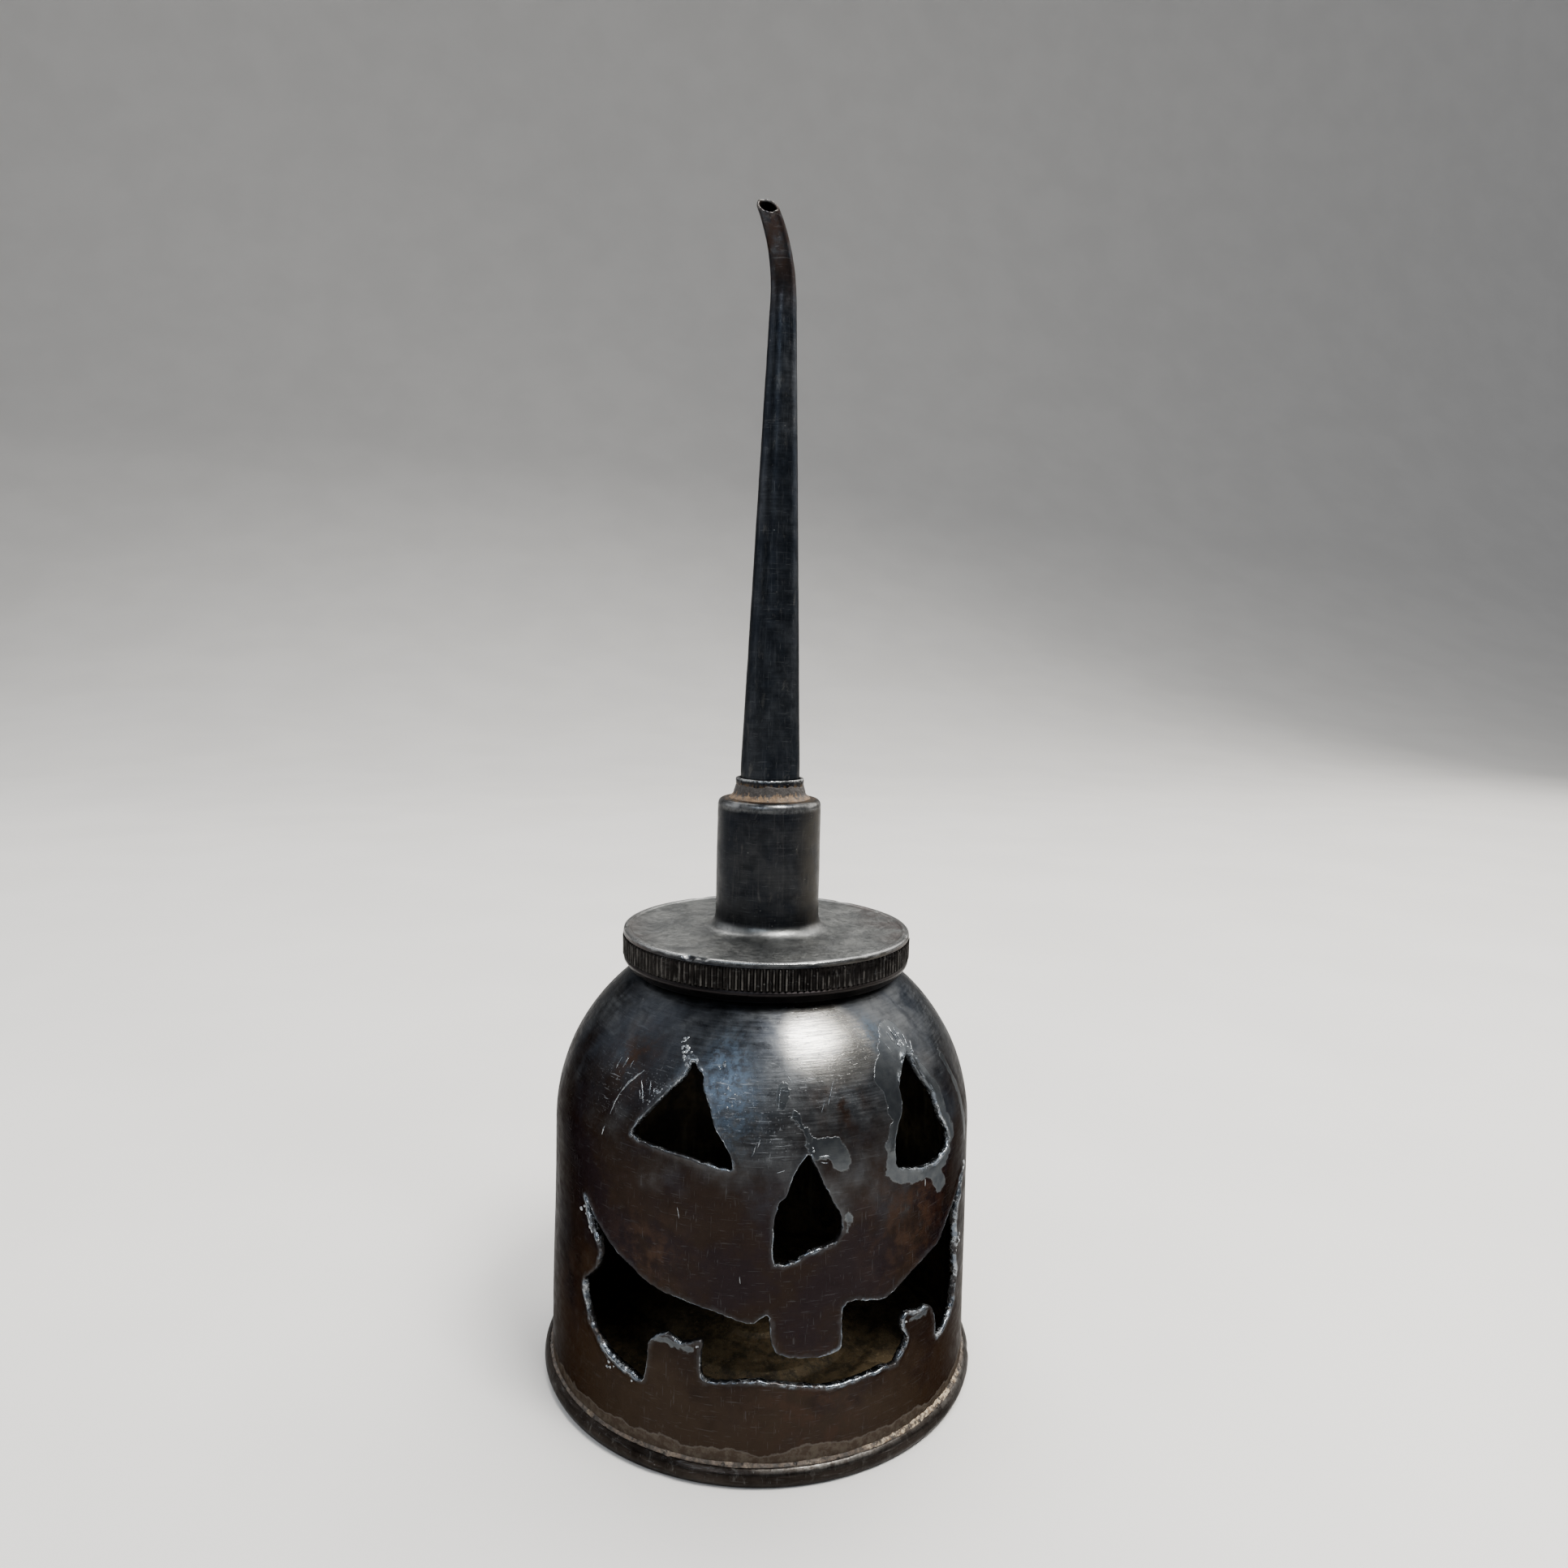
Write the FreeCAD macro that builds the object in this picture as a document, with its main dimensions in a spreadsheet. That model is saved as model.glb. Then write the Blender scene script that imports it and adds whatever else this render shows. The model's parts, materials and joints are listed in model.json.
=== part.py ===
import FreeCAD, Part
import Sketcher
import math
import os

# Bench oiler with a spring bottom and a screw-on spout cap, cut open into a lantern face.
# Millimetres. +Z is up, the face looks along -Y, the origin is the centre of the foot on the floor.

DOC = FreeCAD.newDocument("oiler")
SHEET = DOC.addObject("Spreadsheet::Sheet", "Sizes")
SIZES = {
    # foot bead
    "bead_radius": 40.0,
    "bead_round": 1.8,
    "bead_lip_radius": 36.6,
    "bead_lip_top": 0.7,
    "bead_slot_radius": 39.2,
    "bead_slot_top": 2.4,
    "bead_collar_radius": 38.6,
    "bead_top": 3.55,
    # drawn steel shell
    "shell_thick": 0.9,
    "foot_flange_radius": 39.1,
    "foot_bottom": 1.35,
    "foot_top": 2.3,
    "wall_radius_foot": 38.4,
    "wall_radius_top": 37.75,
    "wall_top": 46.5,
    "dome_round": 33.0,
    "neck_hole_radius": 20.5,
    # spring bottom
    "spring_thick": 0.45,
    "spring_edge": 0.8,
    "spring_hole_radius": 5.0,
    "button_radius": 8.5,
    # threaded neck and its cap
    "neck_bore": 18.6,
    "neck_core": 22.0,
    "neck_foot": 75.9,
    "neck_top": 79.3,
    "thread_pitch": 1.6,
    "thread_rise": 2.4,
    "thread_deep": 0.55,
    "thread_gap": 0.15,
    "liner_outer": 24.85,
    "liner_bottom": 75.0,
    "liner_top": 80.15,
    "gasket_bottom": 79.35,
    "cap_radius": 26.0,
    "cap_skirt_inner": 25.0,
    "cap_under": 80.2,
    "cap_face": 81.05,
    "cap_edge_top": 81.2,
    "curl_bottom": 74.0,
    "curl_tip": 24.1,
    "knurl_root": 25.7,
    "knurl_crest": 26.15,
    "knurl_low": 77.0,
    "knurl_high": 80.3,
    "hub_radius_foot": 9.4,
    "hub_radius_top": 9.3,
    "hub_fillet": 2.2,
    "hub_shoulder": 102.4,
    "hub_inner": 8.4,
    "collar_radius": 6.1,
    "collar_bore": 5.5,
    "collar_foot": 104.6,
    "collar_top": 108.3,
    # spout
    "spout_radius": 5.35,
    "spout_wall": 0.5,
    "spout_cone_start": 110.0,
    "spout_taper": 0.0377,
    "spout_lean": 0.35,
    "lean_heading": 78.0,
    "bend_run_in": 176.0,
    "bend_start": 190.8,
    "bend_round": 15.2,
    "bend_angle": 59.3,
    "bend_heading": -37.5,
}

KNURL_RIBS = 160
BEND_SECTIONS = 8

# Underside of the spring bottom's corrugations: (radius, lift above its edge).
DISC_WAVES = [
    (39.1, 0.0), (35.8, 0.0), (33.4, 1.6), (30.0, 1.6), (28.2, 2.5),
    (23.0, 2.5), (21.4, 1.9), (18.0, 1.9), (16.2, 2.9), (12.0, 3.2),
]
DISC_RISE = "3.2"

# Each cut-out is a closed outline on the wall: (degrees round from the front, height).
LEFT_EYE = [
    (-33.5, 66.5), (-28, 64), (-28, 62.5), (-21, 55), (-18.5, 53), (-18.5, 51),
    (-36, 52.7), (-48, 53.7), (-43.5, 57.6), (-37, 62.5), (-34.5, 64),
]
RIGHT_EYE = [
    (36, 65.5), (37.5, 62), (41.5, 58.5), (42.5, 54.5), (46, 50.5), (44.5, 48.6),
    (38.5, 47.3), (32, 47.5), (23, 49.2), (22.8, 53), (27, 57.5), (28, 61), (34, 64.8),
]
NOSE = [
    (-0.3, 54.4), (3.8, 48.2), (8, 43), (8.4, 40.6), (6, 39), (-1, 37.8), (-3.3, 36.5),
    (-9.2, 36.2), (-9.2, 43.4), (-7.9, 47.4), (-5.8, 48), (-4.6, 51),
]
UPPER_LIP = [
    (-62.5, 41.2), (-58.3, 38.4), (-52.7, 35.5), (-43, 32.1), (-37.9, 30.4), (-25.7, 28.9), (-13.2, 26.8),
]
UPPER_TOOTH = [(-10, 28.5), (-9, 27.8), (-9, 24.5), (-6.6, 21.5), (1.3, 20.8), (8.5, 22), (8.2, 28.2), (9.8, 29.6)]
RIGHT_CORNER = [(20, 28), (27, 30.2), (40.7, 33), (48.1, 37.4), (57, 42.2), (51.5, 35)]
RIGHT_CHEEK = [(53, 25.5), (54, 22.5), (52, 18.5), (44, 15.6)]
RIGHT_LOWER_TOOTH = [(39.8, 15.2), (39.5, 19.7), (35.2, 22.8), (27.5, 23.7), (25.6, 21.6), (28.5, 18.8), (25, 16.4)]
LOWER_LIP = [(20, 15.9), (5, 15.3), (-12.4, 17.1), (-23.5, 16.4)]
LEFT_LOWER_TOOTH = [(-25.7, 17.6), (-25.3, 22.8), (-31, 21.9), (-35.1, 22.8), (-39.3, 20.8), (-40.2, 14)]
LEFT_CHEEK = [(-50, 15.8), (-58.6, 19.4), (-62.6, 25.5), (-57, 28.9), (-55, 32.5), (-60.5, 38.6)]
MOUTH = (
    UPPER_LIP + UPPER_TOOTH + RIGHT_CORNER + RIGHT_CHEEK
    + RIGHT_LOWER_TOOTH + LOWER_LIP + LEFT_LOWER_TOOTH + LEFT_CHEEK
)
CUTTER_REACH = 1.3
CUTTER_FAR = 150.0


def fill_sheet():
    """Writes every size into the spreadsheet under its own name."""
    for row, (name, value) in enumerate(SIZES.items(), start=1):
        SHEET.set(f"A{row}", name)
        SHEET.set(f"B{row}", str(value))
        SHEET.setAlias(f"B{row}", name)
    DOC.recompute()


def size(name):
    """Number behind one spreadsheet name."""
    return float(SHEET.get(name))


def expand(text):
    """Turns bare size names in an expression into spreadsheet references."""
    words = []
    word = ""
    for letter in str(text) + " ":
        if letter.isalnum() or letter in "_.":
            word += letter
            continue
        words.append("Sizes." + word if word in SIZES else word)
        words.append(letter)
        word = ""
    return "".join(words).strip()


def value_of(text):
    """Number an expression stands for."""
    found = SHEET.evalExpression(expand(text))
    return float(getattr(found, "Value", found))


def new_body(label):
    """Empty PartDesign body."""
    body = DOC.addObject("PartDesign::Body", label + "_body")
    body.Label = label
    return body


def new_sketch(body, name, role="XZ_Plane"):
    """Sketch attached to one of its own body's origin planes."""
    sketch = body.newObject("Sketcher::SketchObject", name)
    plane = [feature for feature in body.Origin.OriginFeatures if feature.Role == role][0]
    sketch.AttachmentSupport = [(plane, "")]
    sketch.MapMode = "FlatFace"
    return sketch


def arc_between(start, end, radius):
    """Arc from start to end; a positive radius bulges to the right of the way from start to end."""
    start = FreeCAD.Vector(*start, 0)
    end = FreeCAD.Vector(*end, 0)
    chord = end - start
    middle = (start + end) * 0.5
    right = FreeCAD.Vector(chord.y, -chord.x, 0).normalize()
    reach = abs(radius)
    sagitta = reach - math.sqrt(max(reach ** 2 - (chord.Length / 2) ** 2, 0.0))
    through = middle + right * math.copysign(sagitta, radius)
    return Part.Arc(start, through, end)


def draw_loop(sketch, corners):
    """Closed loop of lines and arcs. A corner is (x, y) or (x, y, radius of the arc that leaves it)."""
    spots = [(value_of(corner[0]), value_of(corner[1])) for corner in corners]
    first = sketch.GeometryCount
    for index, corner in enumerate(corners):
        start = spots[index]
        end = spots[(index + 1) % len(spots)]
        if len(corner) == 3:
            sketch.addGeometry(arc_between(start, end, value_of(corner[2])))
        else:
            sketch.addGeometry(Part.LineSegment(FreeCAD.Vector(*start, 0), FreeCAD.Vector(*end, 0)))
    return first


def bind_loop(sketch, corners, first):
    """Ties every corner and arc radius of a drawn loop to the spreadsheet."""
    spots = [(value_of(corner[0]), value_of(corner[1])) for corner in corners]
    placed = {}
    for index, corner in enumerate(corners):
        geometry = first + index
        ends = {}
        for end in (1, 2):
            point = sketch.getPoint(geometry, end)
            gaps = [math.hypot(point.x - x, point.y - y) for x, y in spots]
            ends[end] = gaps.index(min(gaps))
        for end, spot in ends.items():
            if spot in placed:
                sketch.addConstraint(Sketcher.Constraint("Coincident", geometry, end, *placed[spot]))
            else:
                placed[spot] = (geometry, end)
        if len(corner) == 3:
            number = sketch.addConstraint(Sketcher.Constraint("Radius", geometry, abs(value_of(corner[2]))))
            sketch.setExpression(f"Constraints[{number}]", f"abs({expand(corner[2])})")
    for spot, (geometry, end) in placed.items():
        for kind, text in (("DistanceX", corners[spot][0]), ("DistanceY", corners[spot][1])):
            number = sketch.addConstraint(Sketcher.Constraint(kind, -1, 1, geometry, end, value_of(text)))
            sketch.setExpression(f"Constraints[{number}]", expand(text))


def profile_sketch(body, name, corners):
    """Bound closed profile on the body's XZ plane."""
    sketch = new_sketch(body, name)
    bind_loop(sketch, corners, draw_loop(sketch, corners))
    return sketch


def turned(label, corners):
    """Body turned about Z from one bound profile."""
    body = new_body(label)
    sketch = profile_sketch(body, label + "_profile", corners)
    turn = body.newObject("PartDesign::Revolution", label + "_turn")
    turn.Profile = sketch
    turn.ReferenceAxis = (sketch, ["V_Axis"])
    turn.Angle = 360
    body.Tip = turn
    return body


def add_helix(body, kind, corners, rise):
    """Helical ridge or groove of the given profile, right-handed about Z."""
    sketch = profile_sketch(body, body.Label + "_thread_profile", corners)
    helix = body.newObject(kind, body.Label + "_thread")
    helix.Profile = sketch
    helix.ReferenceAxis = (sketch, ["V_Axis"])
    helix.Mode = 0
    helix.setExpression("Pitch", expand("thread_pitch"))
    helix.setExpression("Height", expand(rise))
    body.Tip = helix


def make_bottom_rim():
    """Rolled bead that folds over the edge of the spring bottom and the foot of the shell."""
    return turned("bottom_rim", [
        ("bead_lip_radius", "0"),
        ("bead_radius - bead_round", "0", "bead_round"),
        ("bead_radius", "bead_round", "bead_round"),
        ("bead_collar_radius", "bead_top"),
        ("bead_collar_radius", "bead_slot_top"),
        ("bead_slot_radius", "bead_slot_top"),
        ("bead_slot_radius", "bead_lip_top"),
        ("bead_lip_radius", "bead_lip_top"),
    ])


def make_seam_solder():
    """Thin bead of solder in the groove between the shell and the rolled bead."""
    return turned("seam_solder", [
        ("wall_radius_foot + 0.03", "bead_slot_top + 0.1"),
        ("bead_collar_radius - 0.04", "bead_slot_top + 0.1"),
        ("bead_collar_radius - 0.04", "bead_top + 0.06"),
        ("bead_collar_radius + 0.3", "bead_top + 0.06"),
        ("wall_radius_foot + 0.03", "bead_top + 0.75"),
    ])


def make_bottom_diaphragm():
    """Thin corrugated steel disc, held at its edge and free to flex up in the middle."""
    lower = [(str(radius), f"spring_edge + {lift}") for radius, lift in DISC_WAVES]
    lower.append(("spring_hole_radius", f"spring_edge + {DISC_RISE}"))
    upper = [(radius, height + " + spring_thick") for radius, height in reversed(lower)]
    return turned("bottom_diaphragm", lower + upper)


def make_bottom_button():
    """Thumb button: a wide pressed head below, a stem through the disc and a riveted head above."""
    disc = f"spring_edge + {DISC_RISE}"
    return turned("bottom_button", [
        ("0", disc + " - 1.15"),
        ("button_radius - 1.4", disc + " - 1.15", "1.0"),
        ("button_radius", disc + " - 0.35"),
        ("button_radius", disc + " - 0.04"),
        ("spring_hole_radius - 0.1", disc + " - 0.04"),
        ("spring_hole_radius - 0.1", disc + " + spring_thick + 0.04"),
        ("button_radius - 1.5", disc + " + spring_thick + 0.04"),
        ("button_radius - 2.1", disc + " + spring_thick + 0.85"),
        ("0", disc + " + spring_thick + 0.85"),
    ])


def wall_radius(height):
    """Outer radius of the shell at a height."""
    foot = SIZES["wall_radius_foot"]
    top = SIZES["wall_radius_top"]
    if height <= SIZES["wall_top"]:
        share = (height - SIZES["foot_top"]) / (SIZES["wall_top"] - SIZES["foot_top"])
        return foot + (top - foot) * share
    dome = SIZES["dome_round"]
    return top - dome + math.sqrt(dome ** 2 - (height - SIZES["wall_top"]) ** 2)


def make_cutter(label, outline):
    """Two cones of flat faces, base to base on the outline: one from the can's axis, one from far in front."""
    heights = [height for _, height in outline]
    angles = [angle for angle, _ in outline]
    inner = FreeCAD.Vector(0, 0, (min(heights) + max(heights)) / 2)
    heading = math.radians((min(angles) + max(angles)) / 2)
    outer = inner + FreeCAD.Vector(math.sin(heading), -math.cos(heading), 0) * CUTTER_FAR
    ring = []
    for angle, height in outline:
        turn = math.radians(angle)
        radius = wall_radius(height)
        spot = FreeCAD.Vector(radius * math.sin(turn), -radius * math.cos(turn), height)
        ring.append(inner + (spot - inner) * CUTTER_REACH)
    faces = []
    for start, end in zip(ring, ring[1:] + ring[:1]):
        for tip in (inner, outer):
            faces.append(Part.Face(Part.makePolygon([tip, start, end, tip])))
    solid = Part.makeSolid(Part.makeShell(faces))
    if solid.Volume < 0:
        solid.reverse()
    cutter = DOC.addObject("Part::Feature", label)
    cutter.Shape = solid
    return cutter


def make_can_body():
    """Drawn steel shell: foot flange, near-straight wall, dome and neck hole, with the face cut through."""
    inner_round = "dome_round - shell_thick"
    centre = "wall_radius_top - dome_round"
    hole = f"(neck_hole_radius - ({centre}))"
    shell = turned("can_shell", [
        ("wall_radius_foot - shell_thick", "foot_bottom"),
        ("foot_flange_radius", "foot_bottom"),
        ("foot_flange_radius", "foot_top"),
        ("wall_radius_foot", "foot_top"),
        ("wall_radius_top", "wall_top", "dome_round"),
        ("neck_hole_radius", f"wall_top + sqrt(dome_round^2 - {hole}^2)"),
        ("neck_hole_radius", f"wall_top + sqrt(({inner_round})^2 - {hole}^2)", f"-({inner_round})"),
        ("wall_radius_top - shell_thick", "wall_top"),
    ])
    cuts = DOC.addObject("Part::MultiFuse", "face_cuts")
    cuts.Shapes = [
        make_cutter("left_eye_cut", LEFT_EYE),
        make_cutter("right_eye_cut", RIGHT_EYE),
        make_cutter("nose_cut", NOSE),
        make_cutter("mouth_cut", MOUTH),
    ]
    can = DOC.addObject("Part::Cut", "can_body")
    can.Label = "can_body"
    can.Base = shell
    can.Tool = cuts
    return can


def make_neck_ring():
    """Neck soldered into the dome, with one and a half turns of raised thread outside."""
    ring = turned("neck_ring", [
        ("neck_bore", "neck_foot - 2.2"),
        ("neck_hole_radius - 0.15", "neck_foot - 2.2"),
        ("neck_hole_radius - 0.15", "neck_foot"),
        ("neck_core", "neck_foot"),
        ("neck_core", "neck_top"),
        ("neck_bore", "neck_top"),
    ])
    add_helix(ring, "PartDesign::AdditiveHelix", [
        ("neck_core - 0.3", "neck_foot + 0.1"),
        ("neck_core", "neck_foot + 0.1"),
        ("neck_core + thread_deep", "neck_foot + 0.35"),
        ("neck_core + thread_deep", "neck_foot + 0.65"),
        ("neck_core", "neck_foot + 0.9"),
        ("neck_core - 0.3", "neck_foot + 0.9"),
    ], "thread_rise")
    return ring


def make_neck_solder():
    """Solder fillet under the neck ring, following the dome."""
    centre = "(wall_radius_top - dome_round)"
    lift = "wall_top + sqrt((dome_round + 0.06)^2 - (RADIUS - " + centre + ")^2)"
    return turned("neck_solder", [
        ("neck_hole_radius + 0.1", lift.replace("RADIUS", "neck_hole_radius + 0.1")),
        ("neck_core - 0.05", lift.replace("RADIUS", "neck_core - 0.05")),
        ("neck_core - 0.05", "neck_foot - 0.05"),
        ("neck_hole_radius + 0.1", "neck_foot - 0.05"),
    ])


def make_gasket_washer():
    """Flat leather washer squeezed between the neck and the cap."""
    return turned("gasket_washer", [
        ("neck_bore + 0.4", "gasket_bottom"),
        ("neck_core", "gasket_bottom"),
        ("neck_core", "liner_top"),
        ("neck_bore + 0.4", "liner_top"),
    ])


def make_cap_liner():
    """Ring inside the cap's skirt, with the thread that takes the neck."""
    bore = "neck_core + thread_gap"
    liner = turned("cap_liner", [
        (bore, "liner_bottom"),
        ("liner_outer - 0.9", "liner_bottom"),
        ("liner_outer", "liner_bottom + 0.95"),
        ("liner_outer", "liner_top"),
        (bore, "liner_top"),
    ])
    start = "neck_foot - 2 * thread_pitch"
    add_helix(liner, "PartDesign::SubtractiveHelix", [
        (bore + " - 0.3", start + " - 0.12"),
        (bore, start + " - 0.12"),
        (bore + " + thread_deep + 0.05", start + " + 0.2"),
        (bore + " + thread_deep + 0.05", start + " + 0.8"),
        (bore, start + " + 1.12"),
        (bore + " - 0.3", start + " + 1.12"),
    ], "5 * thread_pitch")
    return liner


def make_knurl():
    """Fine upright ribs round the skirt: a ring whose edge zigzags between crest and root."""
    spots = []
    for step in range(2 * KNURL_RIBS):
        radius = SIZES["knurl_crest"] if step % 2 else SIZES["knurl_root"] + 0.05
        turn = math.pi * step / KNURL_RIBS
        spots.append(FreeCAD.Vector(radius * math.cos(turn), radius * math.sin(turn), 0))
    outer = Part.makePolygon(spots + spots[:1])
    inner = Part.Wire(Part.makeCircle(SIZES["knurl_root"] - 0.4))
    face = DOC.addObject("Part::Feature", "knurl_face")
    face.Shape = Part.makeFace([outer, inner], "Part::FaceMakerBullseye")
    ribs = DOC.addObject("Part::Extrusion", "knurl_ribs")
    ribs.Base = face
    ribs.Dir = FreeCAD.Vector(0, 0, 1)
    ribs.Solid = True
    ribs.setExpression("LengthFwd", expand("knurl_high - knurl_low"))
    ribs.setExpression("Placement.Base.z", expand("knurl_low"))
    return ribs


def make_spout_cap():
    """Pressed cap: curled and knurled skirt, flange, tall hub, rounded shoulder and narrow collar."""
    core = turned("cap_core", [
        ("curl_tip", "curl_bottom"),
        ("curl_tip + 0.3", "curl_bottom", "cap_radius - curl_tip - 0.3"),
        ("cap_radius", "curl_bottom + cap_radius - curl_tip - 0.3"),
        ("cap_radius", "knurl_low - 0.3"),
        ("knurl_root", "knurl_low"),
        ("knurl_root", "knurl_high"),
        ("cap_radius", "knurl_high + 0.3", "0.7"),
        ("cap_radius - 0.6", "cap_edge_top"),
        ("cap_radius - 1.1", "cap_edge_top"),
        ("cap_radius - 1.4", "cap_face"),
        ("hub_radius_foot + hub_fillet", "cap_face", "-hub_fillet"),
        ("hub_radius_foot", "cap_face + hub_fillet"),
        ("hub_radius_top", "hub_shoulder", "collar_foot - hub_shoulder"),
        ("hub_radius_top - (collar_foot - hub_shoulder)", "collar_foot"),
        ("collar_radius", "collar_foot"),
        ("collar_radius", "collar_top - 0.25"),
        ("collar_radius - 0.25", "collar_top"),
        ("collar_bore", "collar_top"),
        ("collar_bore", "collar_foot - 1.0"),
        ("hub_inner - 1.3", "collar_foot - 1.0", "-1.3"),
        ("hub_inner", "collar_foot - 2.3"),
        ("hub_inner", "cap_under"),
        ("cap_skirt_inner", "cap_under"),
        ("cap_skirt_inner", "curl_bottom + 1.9", "-1.05"),
        ("curl_tip", "curl_bottom + 0.85"),
    ])
    cap = DOC.addObject("Part::MultiFuse", "spout_cap")
    cap.Label = "spout_cap"
    cap.Shapes = [core, make_knurl()]
    return cap


def make_spout_solder():
    """Concave run of solder on the shoulder, round the collar's foot."""
    return turned("spout_solder", [
        ("collar_radius + 0.03", "collar_foot + 0.02"),
        ("hub_radius_top - 2.2", "collar_foot + 0.02"),
        ("hub_radius_top - 2.2", "collar_foot + 0.1", "-2.4"),
        ("collar_radius + 0.12", "collar_foot + 1.9"),
        ("collar_radius + 0.03", "collar_foot + 2.4"),
    ])


def spout_radius_at(travel):
    """Expression for the spout's outer radius after a travel along its centre line."""
    return f"spout_radius - spout_taper * ({travel} - spout_cone_start)"


def make_spout_foot():
    """Flared foot inside the hub and the plain sleeve that stands in the collar."""
    return turned("spout_foot", [
        ("0", "collar_foot - 1.55"),
        ("hub_inner - 1.2", "collar_foot - 1.55"),
        ("hub_inner - 1.2", "collar_foot - 1.05"),
        ("spout_radius", "collar_foot - 1.05"),
        ("spout_radius", "spout_cone_start + 0.5"),
        ("0", "spout_cone_start + 0.5"),
    ])


def heading_vector(heading):
    """Level unit vector that points a number of degrees round from the front."""
    turn = math.radians(heading)
    return FreeCAD.Vector(math.sin(turn), -math.cos(turn), 0)


def tilt_towards(heading, angle):
    """Rotation that tips +Z over towards a heading."""
    return FreeCAD.Rotation(FreeCAD.Vector(0, 0, 1).cross(heading_vector(heading)), angle)


def section_circle(label, travel, inset):
    """Circle across the spout's centre line, which leans a little, rises straight and then bends over."""
    bend_start = size("bend_start")
    bend_round = size("bend_round")
    swing = min(max((travel - bend_start) / bend_round, 0), math.radians(size("bend_angle")))
    past = travel - bend_start - bend_round * swing
    forward = heading_vector(size("bend_heading"))
    spot = forward * (bend_round * (1 - math.cos(swing)))
    spot.z = bend_start + bend_round * math.sin(swing)
    spot = spot + (forward * math.sin(swing) + FreeCAD.Vector(0, 0, math.cos(swing))) * past
    local = FreeCAD.Placement(spot, tilt_towards(size("bend_heading"), math.degrees(swing)))
    lean_turn = tilt_towards(size("lean_heading"), size("spout_lean"))
    lean = FreeCAD.Placement(FreeCAD.Vector(), lean_turn, FreeCAD.Vector(0, 0, size("spout_cone_start")))
    circle = DOC.addObject("Part::Circle", label)
    circle.Angle1 = 0
    circle.Angle2 = 360
    circle.Placement = lean.multiply(local)
    circle.setExpression("Radius", expand(spout_radius_at(str(travel)) + f" - {inset}"))
    return circle


def make_loft(label, travels, inset):
    """Solid through circles across the spout's centre line."""
    loft = DOC.addObject("Part::Loft", label)
    loft.Sections = [
        section_circle(f"{label}_{number}", travel, inset) for number, travel in enumerate(travels)
    ]
    loft.Solid = True
    return loft


def make_spout_tube():
    """Tapered tin spout, soldered into the cap, whose last stretch bends over to the front."""
    start = size("spout_cone_start")
    run_in = size("bend_run_in")
    wall = size("spout_wall")
    tip = size("bend_start") + size("bend_round") * math.radians(size("bend_angle"))
    bend = [run_in + (tip - run_in) * step / BEND_SECTIONS for step in range(BEND_SECTIONS + 1)]
    outside = DOC.addObject("Part::MultiFuse", "spout_outside")
    outside.Shapes = [
        make_spout_foot(),
        make_loft("cone_outside", [start, run_in], 0),
        make_loft("bend_outside", bend, 0),
    ]
    sleeve_bore = DOC.addObject("Part::Cylinder", "sleeve_bore")
    sleeve_bore.setExpression("Radius", expand("spout_radius - spout_wall"))
    sleeve_bore.setExpression("Height", expand("spout_cone_start - collar_foot + 2.3"))
    sleeve_bore.setExpression("Placement.Base.z", expand("collar_foot - 2"))
    bore = DOC.addObject("Part::MultiFuse", "spout_bore")
    bore.Shapes = [
        sleeve_bore,
        make_loft("cone_bore", [start, run_in], wall),
        make_loft("bend_bore", bend + [tip + 1], wall),
    ]
    tube = DOC.addObject("Part::Cut", "spout_tube")
    tube.Label = "spout_tube"
    tube.Base = outside
    tube.Tool = bore
    return tube


def check(part):
    """Stops on a part that did not compute or is not one valid solid."""
    if "Invalid" in part.State or "Error" in part.State:
        raise RuntimeError(f"{part.Label} did not compute: {part.State}")
    if not part.Shape.isValid() or len(part.Shape.Solids) != 1:
        raise RuntimeError(f"{part.Label} has {len(part.Shape.Solids)} solids")


def export_all(parts):
    """Writes each sub-part's solid to its own file."""
    os.makedirs("parts", exist_ok=True)
    for part in parts:
        check(part)
        box = part.Shape.optimalBoundingBox()
        print(f"{part.Label}: {part.Shape.Volume:.1f} mm3, z {box.ZMin:.2f} to {box.ZMax:.2f}")
        part.Shape.exportStep(f"parts/{part.Label}.step")


def main():
    """Builds the whole oiler."""
    fill_sheet()
    parts = [
        make_can_body(),
        make_bottom_rim(),
        make_seam_solder(),
        make_bottom_diaphragm(),
        make_bottom_button(),
        make_neck_ring(),
        make_neck_solder(),
        make_gasket_washer(),
        make_cap_liner(),
        make_spout_cap(),
        make_spout_solder(),
        make_spout_tube(),
    ]
    DOC.recompute()
    export_all(parts)


main()
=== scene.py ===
import json
import math
import random

import bpy
import numpy as np
from mathutils import Matrix, Vector, noise
from mathutils.geometry import delaunay_2d_cdt
from mathutils.kdtree import KDTree

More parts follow.
